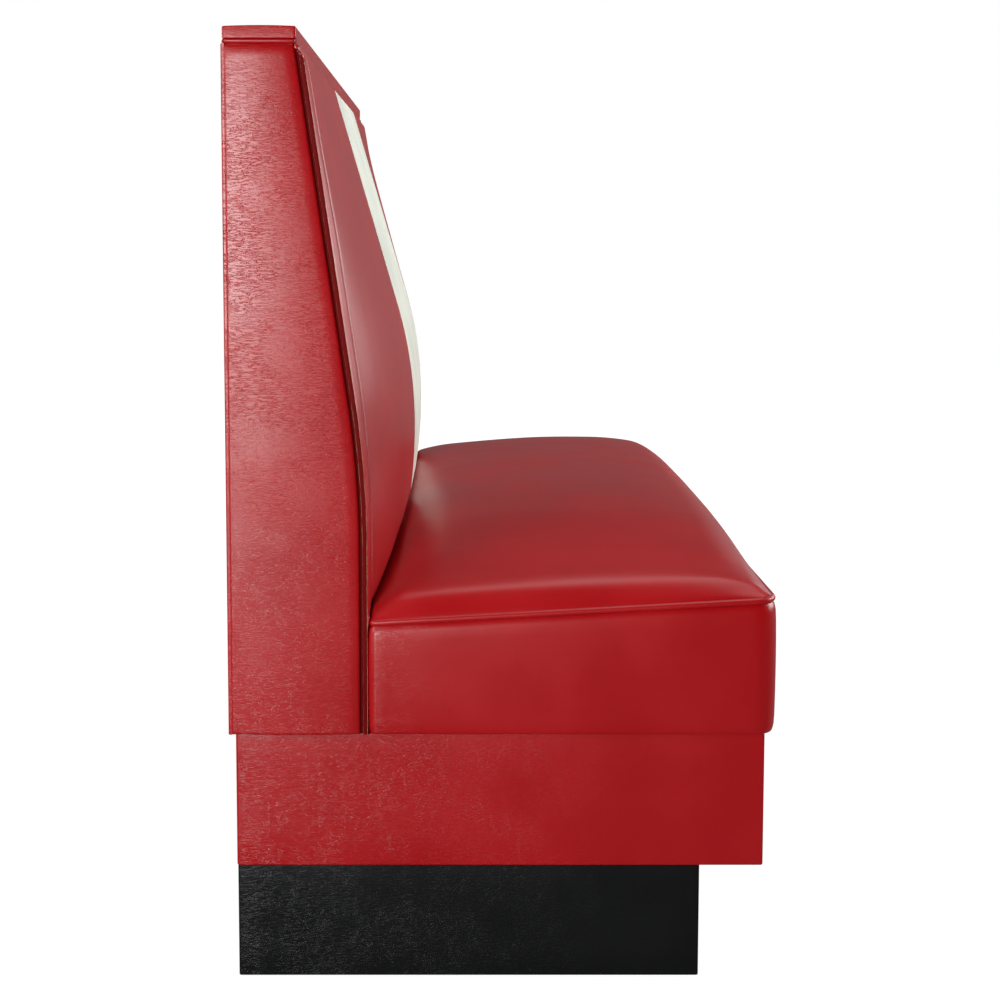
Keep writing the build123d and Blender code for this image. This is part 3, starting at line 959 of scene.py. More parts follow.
class SubAssembly:
    """A group of pieces that are made and dressed together."""

    def __init_subclass__(cls) -> None:
        """Gives each kind of sub-assembly its own log name."""
        cls.log = LOG.getChild(cls.__name__)

    def dress(
        self,
        name: str,
        bm: BMesh,
        finish: Any,
        replaces: Sequence[str],
        fill: float | None = None,
    ) -> None:
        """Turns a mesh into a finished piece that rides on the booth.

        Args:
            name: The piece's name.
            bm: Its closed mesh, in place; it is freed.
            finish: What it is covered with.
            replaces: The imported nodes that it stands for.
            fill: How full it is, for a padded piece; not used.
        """
        face_outwards(bm)
        mesh = mesh_of(name, bm)
        mesh.shade_smooth()
        mesh.set_sharp_from_angle(angle=CRISP_ANGLE)
        mesh.materials.append(material_of(finish))
        piece = linked(name, mesh)
        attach(piece, BODY)
        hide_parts(*replaces)
        self.log.info("%s: %d faces", name, len(mesh.polygons))

    def build(self) -> None:
        """Makes every piece of the sub-assembly."""
        raise NotImplementedError


@dataclass
class SeatCushion(SubAssembly):
    """The crowned seat: its top, the boxing round it and the welt between them."""

    corner_radius: float = 25 * MM
    rear_radius: float = 10 * MM
    rear_reach: float = 2 * MM
    edge_inset: float = 1.5 * MM
    welt_radius: float = 4 * MM
    welt_rear: float = 416 * MM
    welt_front: float = 442 * MM
    crown: float = 88 * MM
    foot_drop: float = 0.3 * MM
    lip_drop: float = 2.2 * MM
    lip_width: float = 2.0 * MM
    seam_rise: float = 1 * MM
    skin: float = 1 * MM
    columns: int = 170
    rows: int = 84
    column_easing: float = 1.6
    row_easing: float = 1.5
    corner_steps: int = 10
    end_rise: ShareCurve = ShareCurve(
        ((0, 0.02), (0.035, 0.30), (0.10, 0.44), (0.20, 0.62), (0.40, 0.86), (0.68, 0.97), (1, 1))
    )
    depth_rise: ShareCurve = ShareCurve(
        (
            (0, 0.40), (0.04, 0.68), (0.08, 0.86), (0.20, 0.96), (0.47, 1.0),
            (0.70, 0.94), (0.86, 0.80), (0.95, 0.50), (1, 0.02),
        )
    )
    boxing_rings: Shares = (
        (0.0, -14), (0.0, -2.3), (0.006, -1.6), (0.02, -0.8), (0.05, 0.2), (0.12, 0.8), (0.3, 1.3),
        (0.5, 1.5), (0.7, 1.4), (0.85, 1.0), (0.93, 0.4), (0.975, -0.9), (1.0, -3.4),
    )

    def __post_init__(self) -> None:
        """Reads the cushion's place from the frame."""
        space = Space.of("seat_boxing", "seat_foam")
        self.bottom = space.low.z - self.foot_drop
        self.deck_top = Space.of("seat_deck").high.z
        self.plan = RoundedPlan(
            space.high.x - self.edge_inset,
            space.low.y + self.edge_inset,
            space.high.y - self.edge_inset + self.rear_reach,
            self.corner_radius,
            self.rear_radius,
        )

    def welt_level(self, y: float) -> float:
        """The height of the welt's centre line at a place from front to rear."""
        way = (y - self.plan.front_y) / (self.plan.rear_y - self.plan.front_y)
        return self.welt_front + (self.welt_rear - self.welt_front) * way

    def top_height(self, x: float, y: float, plan: RoundedPlan) -> float:
        """The height of the seat's crown.

        Args:
            x: The place along the booth.
            y: The place from front to rear.
            plan: The plan that the crown fills.

        Returns:
            The height there.
        """
        end_way = max(0.0, 1 - abs(x) / plan.half_x)
        depth_way = (plan.rear_y - y) / (plan.rear_y - plan.front_y)
        rise = self.crown * self.end_rise.at(end_way) * self.depth_rise.at(depth_way)
        edge = min(plan.half_x - abs(x), plan.rear_y - y, y - plan.front_y)
        lip = self.lip_drop * math.exp(-edge / self.lip_width)
        return self.welt_level(y) + self.welt_radius - lip + rise

    def _top(self) -> None:
        """The crowned top with its foam, down to the deck."""
        plan = self.plan.inside(self.welt_radius)
        middle, reach = (plan.front_y + plan.rear_y) / 2, (plan.rear_y - plan.front_y) / 2

        def place(across: float, along: float) -> Vector:
            """A point of the crown."""
            x = plan.half_x * eased(2 * across - 1, self.column_easing)
            y = middle + reach * eased(2 * along - 1, self.row_easing)
            return Vector((x, y, self.top_height(x, y, plan)))

        bm = mapped_grid(self.columns, self.rows, place)
        plan.trim_corners(bm, self.corner_steps)
        made = bmesh.ops.extrude_edge_only(bm, edges=open_edges(bm))
        for vert in new_verts(made):
            vert.co.z = self.deck_top
        bmesh.ops.contextual_create(bm, geom=new_edges(made))
        self.dress("seat_cushion_top", bm, RED_SMOOTH, ["seat_top_cover", "seat_foam"], fill=0.9)

    def _boxing(self) -> None:
        """The upright band round the cushion, bulged and turned under at its bottom."""
        bm = bmesh.new()
        loop = self.plan.outline(bm, segments=8, cuts=40)
        rings = [(level, outset * MM) for level, outset in self.boxing_rings]

        def lift(spot: Vector, level: float) -> float:
            """The height of a level, between the band's bottom and its seam."""
            top = self.welt_level(spot.y) - self.welt_radius + self.seam_rise
            return self.bottom + (top - self.bottom) * level

        grown_wall(bm, loop, self.plan, rings, lift)
        thickened(bm, self.skin)
        self.dress("seat_boxing_band", bm, RED_BOXING, ["seat_boxing"])

    def _welt(self) -> None:
        """The piping round the seat's top edge, on the welt's slope."""
        plan, radius = self.plan, self.welt_radius
        pipe = Piping(radius)
        pipe.start(Vector((0, plan.front_y + radius, 0)), 0.0)
        front_run, rear_run = plan.half_x - plan.radius, plan.half_x - plan.rear_radius
        side_run = plan.rear_y - plan.front_y - plan.radius - plan.rear_radius
        legs = (
            (front_run, plan.radius),
            (side_run, plan.rear_radius),
            (2 * rear_run, plan.rear_radius),
            (side_run, plan.radius),
        )
        for length, corner in legs:
            pipe.run(length, steps=8)
            pipe.turn(corner - radius, QUARTER)
        pipe.run(front_run, steps=8)
        pipe.join_up()
        for vert in pipe.bm.verts:
            vert.co.z += self.welt_level(vert.co.y)
        self.dress("seat_piping", pipe.bm, RED_SMOOTH, ["seat_welt"])

    def build(self) -> None:
        """Makes the top, the boxing and the welt."""
        self._top()
        self._boxing()
        self._welt()


@dataclass(frozen=True)
class BackLine:
    """The front edge of the end panels: a raked line that bends upright at the knee."""

    top_depth: float = 80 * MM
    base_depth: float = 148 * MM
    knee_height: float = 583 * MM
    knee_radius: float = 1160 * MM
    top_height: float = 1054.1 * MM
    tuck_softness: float = 0.8 * MM
    tuck: ShareCurve = ShareCurve(
        (
            (0, 3.4), (5, 3.8), (9.4, 4.6), (10.6, 10.2), (12.5, 12.2),
            (14.5, 14.5), (17, 17.2), (24, 24), (40, 45), (60, 300),
        )
    )

    def depth(self, height: float) -> float:
        """How far forward of the rear face the line stands.

        Args:
            height: The height above the floor.

        Returns:
            The distance at that height.
        """
        rake = math.atan2(self.base_depth - self.top_depth, self.top_height - self.knee_height)
        low = self.knee_height - self.knee_radius * math.tan(rake / 2)
        high = low + self.knee_radius * math.sin(rake)
        if height >= high:
            return self.top_depth + (self.top_height - height) * math.tan(rake)
        if height <= low:
            return self.base_depth
        rise = height - low
        return self.base_depth - self.knee_radius + math.sqrt(self.knee_radius**2 - rise**2)

    def tucked(self, depth: float, height: float) -> float:
        """A depth held back near the top, where the cushion rolls in under the cap."""
        limit = self.top_depth + self.tuck.at((self.top_height - height) / MM) * MM
        return (depth + limit - math.hypot(depth - limit, self.tuck_softness)) / 2


@dataclass
class BackCushion(SubAssembly):
    """The crowned back in three panels, with a border beyond a drawn-in seam at each end."""

    line: BackLine
    seat: SeatCushion
    rear_y: float
    half_x: float
    frame_front: float = 3.4 * MM
    board_front: float = 8.2 * MM
    border_width: float = 24.5 * MM
    border_rise: float = 6 * MM
    border_at_seam: float = 0.95
    crown_depth: float = 202 * MM
    crown_height: float = 598 * MM
    crown_reach: float = 32 * MM
    top_projection: float = 14.2 * MM
    slope_drop: float = 22 * MM
    top_gap: float = 3.5 * MM
    bend_share: float = 0.188
    foot_roll: float = 14 * MM
    foot_depth: float = 3 * MM
    foot_share: float = 0.25
    foot_draw: float = 8 * MM
    foot_turn: float = 14 * MM
    seat_gap: float = 1.5 * MM
    end_gap_share: float = 0.3
    panel_half: float = 193 * MM
    panel_gap: float = 0.2 * MM
    seam_dip: float = 2.3 * MM
    seam_width: float = 2.4 * MM
    tuck_dip: float = 1.2 * MM
    tuck_width: float = 1.0 * MM
    columns: int = 92
    rows: int = 110
    crown_rise: ShareCurve = ShareCurve(
        ((0, 0.0), (0.03, 0.12), (0.10, 0.33), (0.22, 0.58), (0.42, 0.83), (0.70, 0.97), (1, 1))
    )
    border_round: ShareCurve = ShareCurve(
        ((0, 0.0), (0.08, 0.22), (0.25, 0.55), (0.5, 0.85), (0.8, 1.0), (1, 0.95))
    )
    border_fade: ShareCurve = ShareCurve(
        (
            (0, 0.0), (10, 0.18), (38, 0.36), (104, 0.5), (170, 0.8),
            (236, 1), (370, 1), (433, 0.78), (620, 0.6),
        )
    )
    row_spacing: ShareCurve = ShareCurve(((0, 0), (0.14, 0.03), (0.5, 0.45), (0.9, 0.97), (1, 1)))
    end_spacing: ShareCurve = ShareCurve(
        ((0, 0), (0.10, 0.012), (0.22, 0.05), (0.34, 0.075), (0.55, 0.2), (0.92, 0.985), (1, 1))
    )
    centre_spacing: ShareCurve = ShareCurve(((0, 0), (0.08, 0.012), (0.92, 0.988), (1, 1)))

    def __post_init__(self) -> None:
        """Reads the height where the bent board ends."""
        self.board_top = Space.of("inner_back_board").high.z

    def _full_depth(self, height: float, foot: float) -> float:
        """How far forward the crown stands at the middle of the booth.

        Args:
            height: The height above the floor.
            foot: The height of the cushion's foot.

        Returns:
            The distance from the rear face.
        """
        top = self.line.top_height - self.slope_drop
        top_depth = self.line.depth(top) + self.top_projection
        bend = (top - self.crown_height) * self.bend_share
        rake = math.atan2(self.crown_depth - top_depth, top - self.crown_height - bend)
        radius = bend / math.tan(rake / 2)
        tangent = self.crown_height + radius * math.sin(rake)
        if height > tangent:
            start = self.crown_depth - radius * (1 - math.cos(rake))
            return start - (height - tangent) * math.tan(rake)
        if height > self.crown_height:
            rise = height - self.crown_height
            return self.crown_depth - radius + math.sqrt(radius**2 - rise**2)
        fall = (self.crown_height - height) / max(self.crown_height - foot, 1 * MM)
        return self.crown_depth - self.foot_draw * fall * fall

    def front(self, x: float, way: float) -> Vector:
        """A point on the cushion's face.

        Args:
            x: The place along the booth.
            way: The share of the way down from the top to the foot.

        Returns:
            The point.
        """
        seam_x = self.half_x - self.border_width
        inside = seam_x - abs(x)
        share = self.crown_rise.at(inside / seam_x) if inside > 0 else 0.0
        border = self.border_at_seam
        if inside < 0:
            border = self.border_round.at((self.half_x - abs(x)) / self.border_width)
        border += (1 - border) * share
        foot = self._foot(x, share)
        top = self.line.top_height
        height = top - self.top_gap - (top - self.top_gap - foot) * way
        board = self.line.depth(height) + self.board_front
        rest = board + border * self.border_rise * self.border_fade.at((top - height) / MM)
        depth = rest + share * (self._full_depth(height, foot) - rest)
        depth -= self.seam_dip * math.exp(-((inside / self.seam_width) ** 2))
        depth -= self.tuck_dip * math.exp(-abs(abs(x) - self.panel_half) / self.tuck_width)
        swell = quarter_round((height - foot) / self.foot_roll)
        fullness = self.foot_share + (1 - self.foot_share) * swell
        foot_front = board + self.foot_depth
        depth = foot_front + (depth - foot_front) * fullness
        return Vector((x, self.rear_y - self.line.tucked(depth, height), height))

    def _foot(self, x: float, share: float) -> float:
        """The height of the cushion's foot, just over the seat.

        Args:
            x: The place along the booth.
            share: How full the crown is there.

        Returns:
            The foot's height.
        """
        plan = self.seat.plan
        reach = self.line.base_depth + self.board_front + share * self.crown_reach
        y = min(max(self.rear_y - reach, plan.front_y), plan.rear_y - self.seat.welt_radius)
        gap = self.seat_gap * (self.end_gap_share + (1 - self.end_gap_share) * share)
        return self.seat.top_height(x, y, plan) + gap

    def _behind(self, point: Vector) -> Vector:
        """The place behind a point of the face: on the bent board, or on the frame above it."""
        offset = self.frame_front if point.z > self.board_top else self.board_front
        return Vector((point.x, self.rear_y - self.line.depth(point.z) - offset, point.z))

    def _panel(self, place: str, low_x: float, high_x: float, spacing: ShareCurve, finish: Vinyl) -> None:
        """One padded panel between two places along the booth.

        Args:
            place: The word for its place, as in its name and its packed cover's.
            low_x: Its left edge.
            high_x: Its right edge.
            spacing: Where its columns of cells stand, as shares.
            finish: Its vinyl.
        """

        def spot(across: float, down: float) -> Vector:
            """A point of the panel's face."""
            x = low_x + (high_x - low_x) * spacing.at(across)
            return self.front(x, self.row_spacing.at(down))

        bm = mapped_grid(self.columns, self.rows, spot)
        made = bmesh.ops.extrude_face_region(bm, geom=bm.faces[:], use_keep_orig=True)
        for vert in new_verts(made):
            at_foot = vert.co.z - self.front(vert.co.x, 1.0).z < TOUCH
            vert.co = self._behind(vert.co)
            vert.co.z -= self.foot_turn if at_foot else 0.0
        nodes = [f"back_cover_{place}", "back_foam"]
        self.dress(f"back_panel_{place}", bm, finish, nodes, fill=0.85)

    def build(self) -> None:
        """Makes the left, centre and right panels."""
        end, outer = self.half_x, self.panel_half + self.panel_gap
        inner = self.panel_half - self.panel_gap
        self._panel("left", -end, -outer, self.end_spacing, RED_SMOOTH)
        self._panel("centre", -inner, inner, self.centre_spacing, WHITE_SMOOTH)
        self._panel("right", outer, end, self.end_spacing.mirrored(), RED_SMOOTH)


@dataclass
class BoardWraps(SubAssembly):
    """Vinyl drawn round the ends of the bent board, down the groove beside the end panels, in a darker,
    duller red that paints the groove's shade.
    """

    line: BackLine
    rear_y: float
    half_x: float
    skin: float = 0.4 * MM
    rows: int = 150
    section: Shares = (
        (16.0, 8.6), (2.4, 8.6), (1.5, 8.4), (1.0, 7.9), (0.9, 7.2), (0.9, 4.2),
        (1.0, 3.3), (1.6, 2.9), (4.8, 2.9), (5.2, 2.4), (5.2, -4.0),
    )

    def _wrap(self, end: End) -> None:
        """Makes the wrap of one end.

        Args:
            end: Which end.
        """
        low, high = Space.of("inner_back_board").low.z, self.line.top_height
        last = len(self.section) - 1

        def place(across: float, along: float) -> Vector:
            """Lays the wrap's section, given as (inset, forward), along the board.

            Args:
                across: The share of the way along the section.
                along: The share of the way up.

            Returns:
                The point of the wrap.
            """
            inset, forward = self.section[round(across * last)]
            height = low + (high - low) * along
            depth = self.line.tucked(self.line.depth(height) + forward * MM, height)
            return Vector((end.value * (self.half_x - inset * MM), self.rear_y - depth, height))

        bm = mapped_grid(last, self.rows, place)
        thickened(bm, self.skin)
        # The wrap's darker red is painted shade for the groove.
        self.dress(f"back_board_wrap_{end.side}", bm, RED_PAINTED_GROOVE_SHADE, [f"back_cover_{end.side}"])

    def build(self) -> None:
        """Makes both wraps."""
        for end in End:
            self._wrap(end)


@dataclass
class SidePanels(SubAssembly):
    """The thinly padded vinyl panels on the two ends of the back."""

    line: BackLine
    rear_y: float
    columns: int = 56
    rows: int = 130
    column_easing: float = 1.8
    row_easing: float = 2.0
    rear_depth: float = 2.8 * MM
    base_depth: float = 5 * MM
    rear_round: float = 3 * MM
    front_round: float = 3.2 * MM
    front_fall: float = 14 * MM
    front_drop: float = 1.4 * MM
    end_round: float = 3 * MM
    top_fall: float = 12 * MM
    top_drop: float = 2.2 * MM
    edge_drop: float = 3.0 * MM
    crown_drop: float = 1.8 * MM

    def _drop(self, rear: float, front: float, below: float, above: float) -> float:
        """How far the face falls back near its edges.

        Args:
            rear: The distance to the rear edge.
            front: The distance to the front edge.
            below: The height above the lower edge.
            above: The height left to the upper one.

        Returns:
            The fall.
        """
        sharp = min(rear / self.rear_round, front / self.front_round, below / self.end_round)
        drop = self.edge_drop * (1 - quarter_round(sharp))
        drop += self.front_drop * max(0.0, 1 - front / self.front_fall) ** 2
        drop += self.top_drop * max(0.0, 1 - above / self.top_fall) ** 2
        return drop

    def _panel(self, end: End) -> None:
        """Makes the panel of one end.

        Args:
            end: Which end.
        """
        space = Space.of(f"side_cover_{end.side}")
        base, face = sorted((abs(space.low.x), abs(space.high.x)))
        low, high = space.low.z, space.high.z
        rear = self.rear_depth

        def place(across: float, along: float) -> Vector:
            """Lays the panel's face over its outline.

            Args:
                across: The share of the way from the rear edge to the front.
                along: The share of the way up.

            Returns:
                The point of the face.
            """
            easing = eased(2 * along - 1, self.row_easing)
            height = (low + high) / 2 + (high - low) / 2 * easing
            front = self.line.depth(height)
            way = 0.5 + eased(2 * across - 1, self.column_easing) / 2
            depth = rear + (front - rear) * way
            drop = self._drop(depth - rear, front - depth, height - low, high - height)
            drop += self.crown_drop * (2 * way - 1) ** 2
            return Vector((end.value * (face - drop), self.rear_y - depth, height))

        bm = mapped_grid(self.columns, self.rows, place)
        made = bmesh.ops.extrude_edge_only(bm, edges=open_edges(bm))
        for vert in new_verts(made):
            vert.co.x = end.value * base
            vert.co.y = min(vert.co.y, self.rear_y - self.base_depth)
        bmesh.ops.contextual_create(bm, geom=new_edges(made))
        nodes = [f"side_cover_{end.side}", f"side_padding_{end.side}"]
        self.dress(f"end_panel_{end.side}", bm, RED_CREASED, nodes, fill=1.0)

    def build(self) -> None:
        """Makes both ends' panels."""
        for end in End:
            self._panel(end)


@dataclass
class WrappedBox(SubAssembly):
    """Vinyl drawn round a box of boards and folded over its edges."""

    name: str
    node: str
    finish: Vinyl
    corner_radius: float = 3 * MM
    fold: float = 2 * MM
    fold_steps: int = 5
    over: float = 0.3 * MM
    under: float = 0.8 * MM
    turn_in: float = 16 * MM
    skin: float = 0.8 * MM

    def _rings(self, bottom: float, top: float) -> list[Pair]:
        """The wrap's rings, from the lower edge's fold to the upper one's.

        Args:
            bottom: The lower edge's height.
            top: The upper edge's height.

        Returns:
            Pairs of (level, outset).
        """
        turns = [QUARTER * step / self.fold_steps for step in range(self.fold_steps + 1)]
        rings = [(bottom, -self.turn_in)]
        for turn in turns:
            level, outset = 1 - math.cos(turn), math.sin(turn) - 1
            rings.append((bottom + self.fold * level, self.fold * outset))
        rings += [(bottom + (top - bottom) * share, 0.0) for share in (0.25, 0.5, 0.75)]
        for turn in turns:
            level, outset = 1 - math.sin(turn), math.cos(turn) - 1
            rings.append((top - self.fold * level, self.fold * outset))
        return rings + [(top, -self.turn_in)]

    def build(self) -> None:
        """Makes the wrap."""
        space = Space.of(self.node)
        radius = self.corner_radius
        plan = RoundedPlan(space.high.x, space.low.y, space.high.y, radius, radius)
        rings = self._rings(space.low.z - self.under, space.high.z + self.over)
        bm = bmesh.new()
        loop = plan.outline(bm, segments=6, cuts=12)
        grown_wall(bm, loop, plan, rings, lambda spot, level: level)
        thickened(bm, self.skin)
        self.dress(self.name, bm, self.finish, [self.node])


@dataclass
class Cap(SubAssembly):
    """The capped top: a flat front band, padded ends and piping under its ends and rear."""

    edge_round: float = 1.8 * MM
    crown: float = 1 * MM
    crown_cuts: tuple[float, ...] = (-0.6, -0.3, 0.0, 0.3, 0.6)
    lift: float = 1.4 * MM
    lip: float = 4 * MM
    welt_radius: float = 3.2 * MM
    welt_reach: float = 2.5 * MM
    welt_rear_reach: float = 1.2 * MM
    welt_bend: float = 4.5 * MM
    welt_sides: int = 14
    filler_end: float = 4 * MM
    filler_depth: float = 3.2 * MM
    filler_height: float = 5 * MM
    filler_reach: float = 1.2 * MM
    filler_round: float = 0.5 * MM

    def __post_init__(self) -> None:
        """Reads the cap's place from the frame."""
        self.space = Space.of("cap_vinyl")
        self.welt_space = Space.of("cap_welt")

    def _cover(self) -> None:
        """The vinyl cap over its board."""
        low, high = self.space.low, self.space.high
        shoulder = self.welt_space.high.z
        size = Vector((high.x - low.x, high.y - low.y, high.z - self.crown - shoulder))
        bm = block(size, Vector((0, (low.y + high.y) / 2, shoulder + size.z / 2)))
        lip_x, lip_y = high.x - 2 * self.welt_radius, low.y + self.lip
        for x in (-lip_x, lip_x):
            cut(bm, Vector((x, 0, 0)), Vector((1, 0, 0)))
        cut(bm, Vector((0, lip_y, 0)), Vector((0, 1, 0)))
        strip = [
            face
            for face in bm.faces
            if face.normal.z < -FACING
            and abs(face.calc_center_median().x) < lip_x
            and face.calc_center_median().y < lip_y
        ]
        made = bmesh.ops.extrude_face_region(bm, geom=strip)
        bmesh.ops.delete(bm, geom=strip, context="FACES_ONLY")
        bmesh.ops.translate(bm, verts=new_verts(made), vec=(0, 0, low.z - shoulder))
        crisp = [edge for edge in bm.edges if edge.calc_face_angle(0) > CORNER_ANGLE and self._outside(edge)]
        rounded(bm, crisp, self.edge_round, segments=4)
        self._crown_top(bm)
        self.dress("cap_cover", bm, RED_CREASED, ["cap_vinyl"])

    def _outside(self, edge: BMEdge) -> bool:
        """Picks out the cap's outer corners, which are rounded.

        Args:
            edge: An edge of the cap's cover.

        Returns:
            Whether it lies on one of them.
        """
        middle = (edge.verts[0].co + edge.verts[1].co) / 2
        low, high = self.space.low, self.space.high
        ends = abs(abs(middle.x) - high.x) < TOUCH
        faces = min(abs(middle.y - low.y), abs(middle.y - high.y)) < TOUCH
        top = abs(middle.z - (high.z - self.crown)) < TOUCH
        return (ends and faces) or (top and (ends or faces))

    def _crown_top(self, bm: BMesh) -> None:
        """Raises the cap's top a little along its middle.

        Args:
            bm: The cover's mesh.
        """
        low, high = self.space.low, self.space.high
        middle, reach = (low.y + high.y) / 2, (high.y - low.y) / 2
        for share in self.crown_cuts:
            cut(bm, Vector((0, middle + reach * share, 0)), Vector((0, 1, 0)))
        for vert in bm.verts:
            if vert.co.z > high.z - self.crown - self.edge_round - TOUCH:
                way = (vert.co.y - middle) / reach
                vert.co.z += self.lift + self.crown * max(0.0, 1 - way * way)

    def _welt(self) -> None:
        """The piping under the ends and the rear, with a dome at each front corner."""
        low, high = self.welt_space.low, self.welt_space.high
        radius, bend = self.welt_radius, self.welt_bend
        side, rear = high.x - radius, high.y - radius + self.welt_rear_reach
        front = low.y + radius - self.welt_reach
        pipe = Piping(radius, self.welt_sides)
        pipe.start(Vector((-side, front, (low.z + high.z) / 2)), QUARTER)
        pipe.run(rear - front - bend, steps=4)
        pipe.turn(bend, -QUARTER, steps=8)
        pipe.run(2 * (side - bend), steps=24)
        pipe.turn(bend, -QUARTER, steps=8)
        pipe.run(rear - front - bend, steps=4)
        pipe.round_ends()
        self.dress("cap_piping", pipe.bm, RED_SMOOTH, ["cap_welt"])

    def _filler(self) -> None:
        """A vinyl strip under the cap's front band, behind the top of the back cushion."""
        low, high = self.space.low, self.space.high
        width = high.x - low.x - 2 * self.filler_end
        size = Vector((width, self.filler_depth, self.filler_height))
        bm = block(size, Vector((0, low.y + size.y / 2 - self.filler_reach, low.z - size.z / 2)))
        rounded(bm, bm.edges[:], self.filler_round, segments=2)
        self.dress("cap_filler_strip", bm, RED_SMOOTH, ["cap_vinyl"])

    def build(self) -> None:
        """Makes the cap's cover, its filler and its piping."""
        self._cover()
        self._filler()
        self._welt()


@dataclass
class OutsideBack(SubAssembly):
    """The vinyl rear panel, drawn round its board."""

    edge_round: float = 1.6 * MM
    top_rise: float = 1.1 * MM

    def build(self) -> None:
        """Makes the rear panel."""
        space = Space.of("outside_back_vinyl")
        low, high = space.low, space.high + Vector((0, 0, self.top_rise))
        bm = block(high - low, (high + low) / 2)
        rear = [edge for edge in bm.edges if all(abs(v.co.y - high.y) < SAME for v in edge.verts)]
        rounded(bm, rear, self.edge_round, segments=4)
        self.dress("outside_back_cover", bm, RED_CREASED, ["outside_back_vinyl"])


@dataclass
class Structure(SubAssembly):
    """The boards, rails and fixings inside, which keep their shapes and get their finishes."""

    nodes: dict[str, Object]
    finishes: tuple[tuple[Any, tuple[str, ...]], ...] = (
        (PINE, ("rail", "blocks", "brace", "end_board")),
        (BIRCH_PLY, ("kick_", "frame", "ribs", "deck", "inner_back", "cap_board", "bottom_board")),
        (BROWN_BOARD, ("outside_back_board",)),
        (ZINC, ("screws", "bolts", "brackets")),
        (BLACK_STEEL, ("glides",)),
        (BLACK_FELT, ("dust_cover",)),
        (SEAT_FOAM, ("foam", "padding")),
    )

    def _finish_of(self, name: str) -> Any:
        """The first finish that has a word of a node's name."""
        matches = (finish for finish, words in self.finishes if any(w in name for w in words))
        return next(matches, BIRCH_PLY)

    def build(self) -> None:
        """Gives each shown node its finish."""
        for name, node in self.nodes.items():
            if node.hide_render:
                continue
            finish = self._finish_of(name)
            node.data.materials.clear()
            node.data.materials.append(material_of(finish))
            self.log.info("%s: %s", name, finish.name)


# Studio and camera


@dataclass(frozen=True)
class Softbox:
    """A rectangular area lamp that faces a point."""

    name: str
    place: Triple
    aim: Triple
    size: Pair
    power: float

    def hang(self) -> None:
        """Adds the lamp to the scene."""
        data = bpy.data.lights.new(self.name, "AREA")
        data.shape = "RECTANGLE"
        data.size, data.size_y = self.size
        data.energy = self.power
        lamp = linked(self.name, data)
        lamp.location = self.place
        ray = Vector(self.aim) - Vector(self.place)
        lamp.rotation_euler = ray.to_track_quat("-Z", "Y").to_euler()


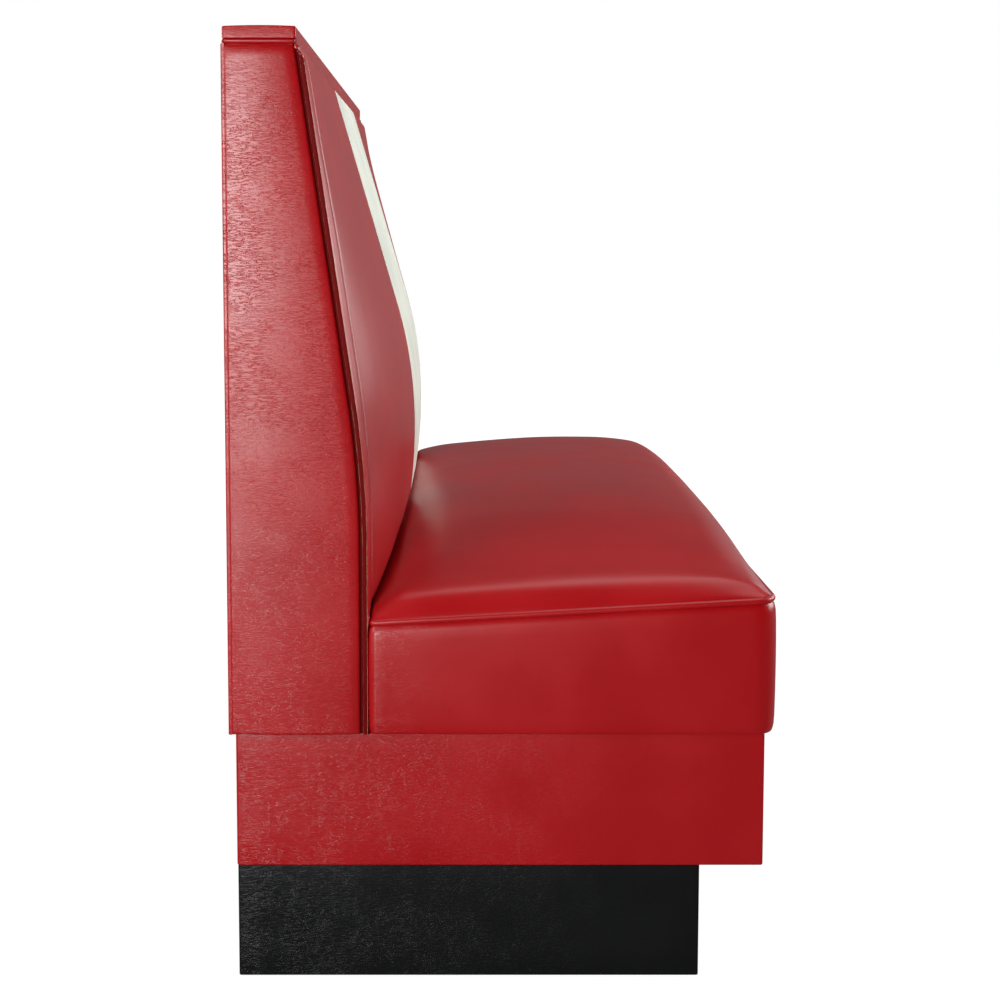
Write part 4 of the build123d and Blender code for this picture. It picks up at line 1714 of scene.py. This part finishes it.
@dataclass
class Studio:
    """A white floor and background, soft lamps, and grey cards for the gloss to show."""

    floor_size: float = 16.0
    floor_cells: int = 8
    floor_white: float = 0.88
    floor_glow: Pair = (1.12, 1.25)
    floor_glow_reach: Pair = (1.0, 3.0)
    paper_scale: float = 60.0
    paper_tone: Pair = (0.58, 0.62)
    card_radius: float = 6.0
    card_glow: Pair = (0.0, 0.19)
    card_glow_reach: Pair = (-2.0, 2.0)
    softboxes: tuple[Softbox, ...] = (
        Softbox("key_softbox", (-3.7, 1.15, 0.86), (-0.58, 0.24, 0.80), (0.7, 1.2), 73.0),
        Softbox("rear_left_softbox", (-2.2, 2.6, 1.8), (-0.4, 0.1, 0.6), (1.6, 1.6), 48.0),
        Softbox("front_softbox", (0.3, -3.4, 1.7), (0.0, 0.2, 0.7), (2.0, 1.8), 106.0),
        Softbox("front_right_softbox", (2.4, -2.6, 1.6), (0.0, 0.2, 0.7), (1.6, 1.8), 20.0),
        Softbox("overhead_softbox", (-0.2, -0.5, 3.4), (0.0, 0.0, 0.4), (2.4, 2.0), 31.0),
    )

    def _rays_that_see_white(self, sheet: NodeSheet) -> NodeSocket:
        """Picks out rays from the camera, a reflection or a transmission.

        Args:
            sheet: The nodes that take the answer.

        Returns:
            1 for such a ray, otherwise 0.
        """
        path = sheet.add("LightPath").outputs
        some = sheet.math("MAXIMUM", path["Is Camera Ray"], path["Is Glossy Ray"])
        return sheet.math("MAXIMUM", some, path["Is Transmission Ray"])

    def _world(self) -> None:
        """A white background that gives the booth no light of its own."""
        world = bpy.data.worlds.new("studio")
        world.cycles.sampling_method = "NONE"
        bpy.context.scene.world = world
        sheet = NodeSheet(world)
        strength = self._rays_that_see_white(sheet)
        shader = sheet.add("Background", {"Color": WHITE_LIGHT, "Strength": strength})
        sheet.add("OutputWorld", {"Surface": shader.outputs[0]})

    def _floor(self) -> None:
        """A floor that shows white and keeps the booth's shadow."""
        bm = bmesh.new()
        cells = self.floor_cells
        bmesh.ops.create_grid(bm, x_segments=cells, y_segments=cells, size=self.floor_size / 2)
        sheet = NodeSheet.named("studio_floor_paper")
        fibres = sheet.noise(sheet.place(), self.paper_scale, 3.0)
        tone = sheet.ranged(fibres, *NOISE_SPREAD, *self.paper_tone)
        grey = sheet.add("CombineColor", {0: tone, 1: tone, 2: tone}).outputs[0]
        paper = sheet.add("BsdfDiffuse", {"Color": grey})
        away = sheet.vector("LENGTH", {0: sheet.place()})
        glow = sheet.glow(sheet.ranged(away, *self.floor_glow_reach, *self.floor_glow))
        white = sheet.math("MULTIPLY", self._rays_that_see_white(sheet), self.floor_white)
        mix = sheet.add("MixShader", {0: white, 1: paper.outputs[0], 2: glow.outputs[0]})
        mesh = mesh_of("studio_floor", bm)
        mesh.materials.append(sheet.finish(mix))
        floor = linked("studio_floor", mesh)
        floor.visible_glossy = False
        floor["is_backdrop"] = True

    def _cards(self) -> None:
        """Grey cards all round, seen only in reflections, paler behind the booth."""
        bm = bmesh.new()
        bmesh.ops.create_uvsphere(bm, u_segments=32, v_segments=16, radius=self.card_radius)
        sheet = NodeSheet.named("grey_card")
        strength = sheet.ranged(sheet.along("X"), *self.card_glow_reach, *self.card_glow)
        mesh = mesh_of("reflection_cards", bm)
        mesh.materials.append(sheet.finish(sheet.glow(strength)))
        cards = linked("reflection_cards", mesh)
        cards.visible_camera = False
        cards.visible_diffuse = False
        cards.visible_shadow = False
        cards.visible_transmission = False
        cards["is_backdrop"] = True

    def build(self) -> None:
        """Sets up the light, the floor and the cards."""
        bpy.context.scene.view_settings.view_transform = "Standard"
        self._world()
        self._floor()
        self._cards()
        for softbox in self.softboxes:
            softbox.hang()


@dataclass(frozen=True)
class PhotoView:
    """The camera at the photograph's viewing angle."""

    place: Triple = (-2.340, 0.0535, 0.848)
    pitch: float = 4.83
    lens: float = 57.74
    shift: Pair = (0.0442, -0.1292)

    def set_up(self) -> None:
        """Places the camera and makes it the scene's."""
        data = bpy.data.cameras.new("photo_camera")
        data.lens = self.lens
        data.shift_x, data.shift_y = self.shift
        camera = linked("photo_camera", data)
        camera.location = self.place
        camera.rotation_euler = (math.radians(90 - self.pitch), 0, math.radians(-90))
        bpy.context.scene.camera = camera


def main() -> None:
    """Loads the frame, dresses the booth and sets up the studio."""
    logging.basicConfig(level=logging.INFO, format="%(name)s %(message)s")
    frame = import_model()
    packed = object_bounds()
    half_x, rear_y = packed[1].x, packed[1].y
    cushion_inset, wrap_inset = 3 * MM, 2.4 * MM
    line = BackLine()
    seat = SeatCushion()
    sections: tuple[SubAssembly, ...] = (
        seat,
        BackCushion(line, seat, rear_y, half_x - cushion_inset),
        BoardWraps(line, rear_y, half_x - wrap_inset),
        SidePanels(line, rear_y),
        WrappedBox("apron_cover", "apron_vinyl_wrap", RED_CREASED, under=1.15 * MM),
        WrappedBox("kick_cover", "kick_vinyl_wrap", BLACK_CREASED, over=-0.1 * MM, fold=0.6 * MM),
        Cap(),
        OutsideBack(),
        Structure(frame["nodes"]),
    )
    for section in sections:
        section.build()
    Studio().build()
    PhotoView().set_up()


if __name__ == "__main__":
    main()
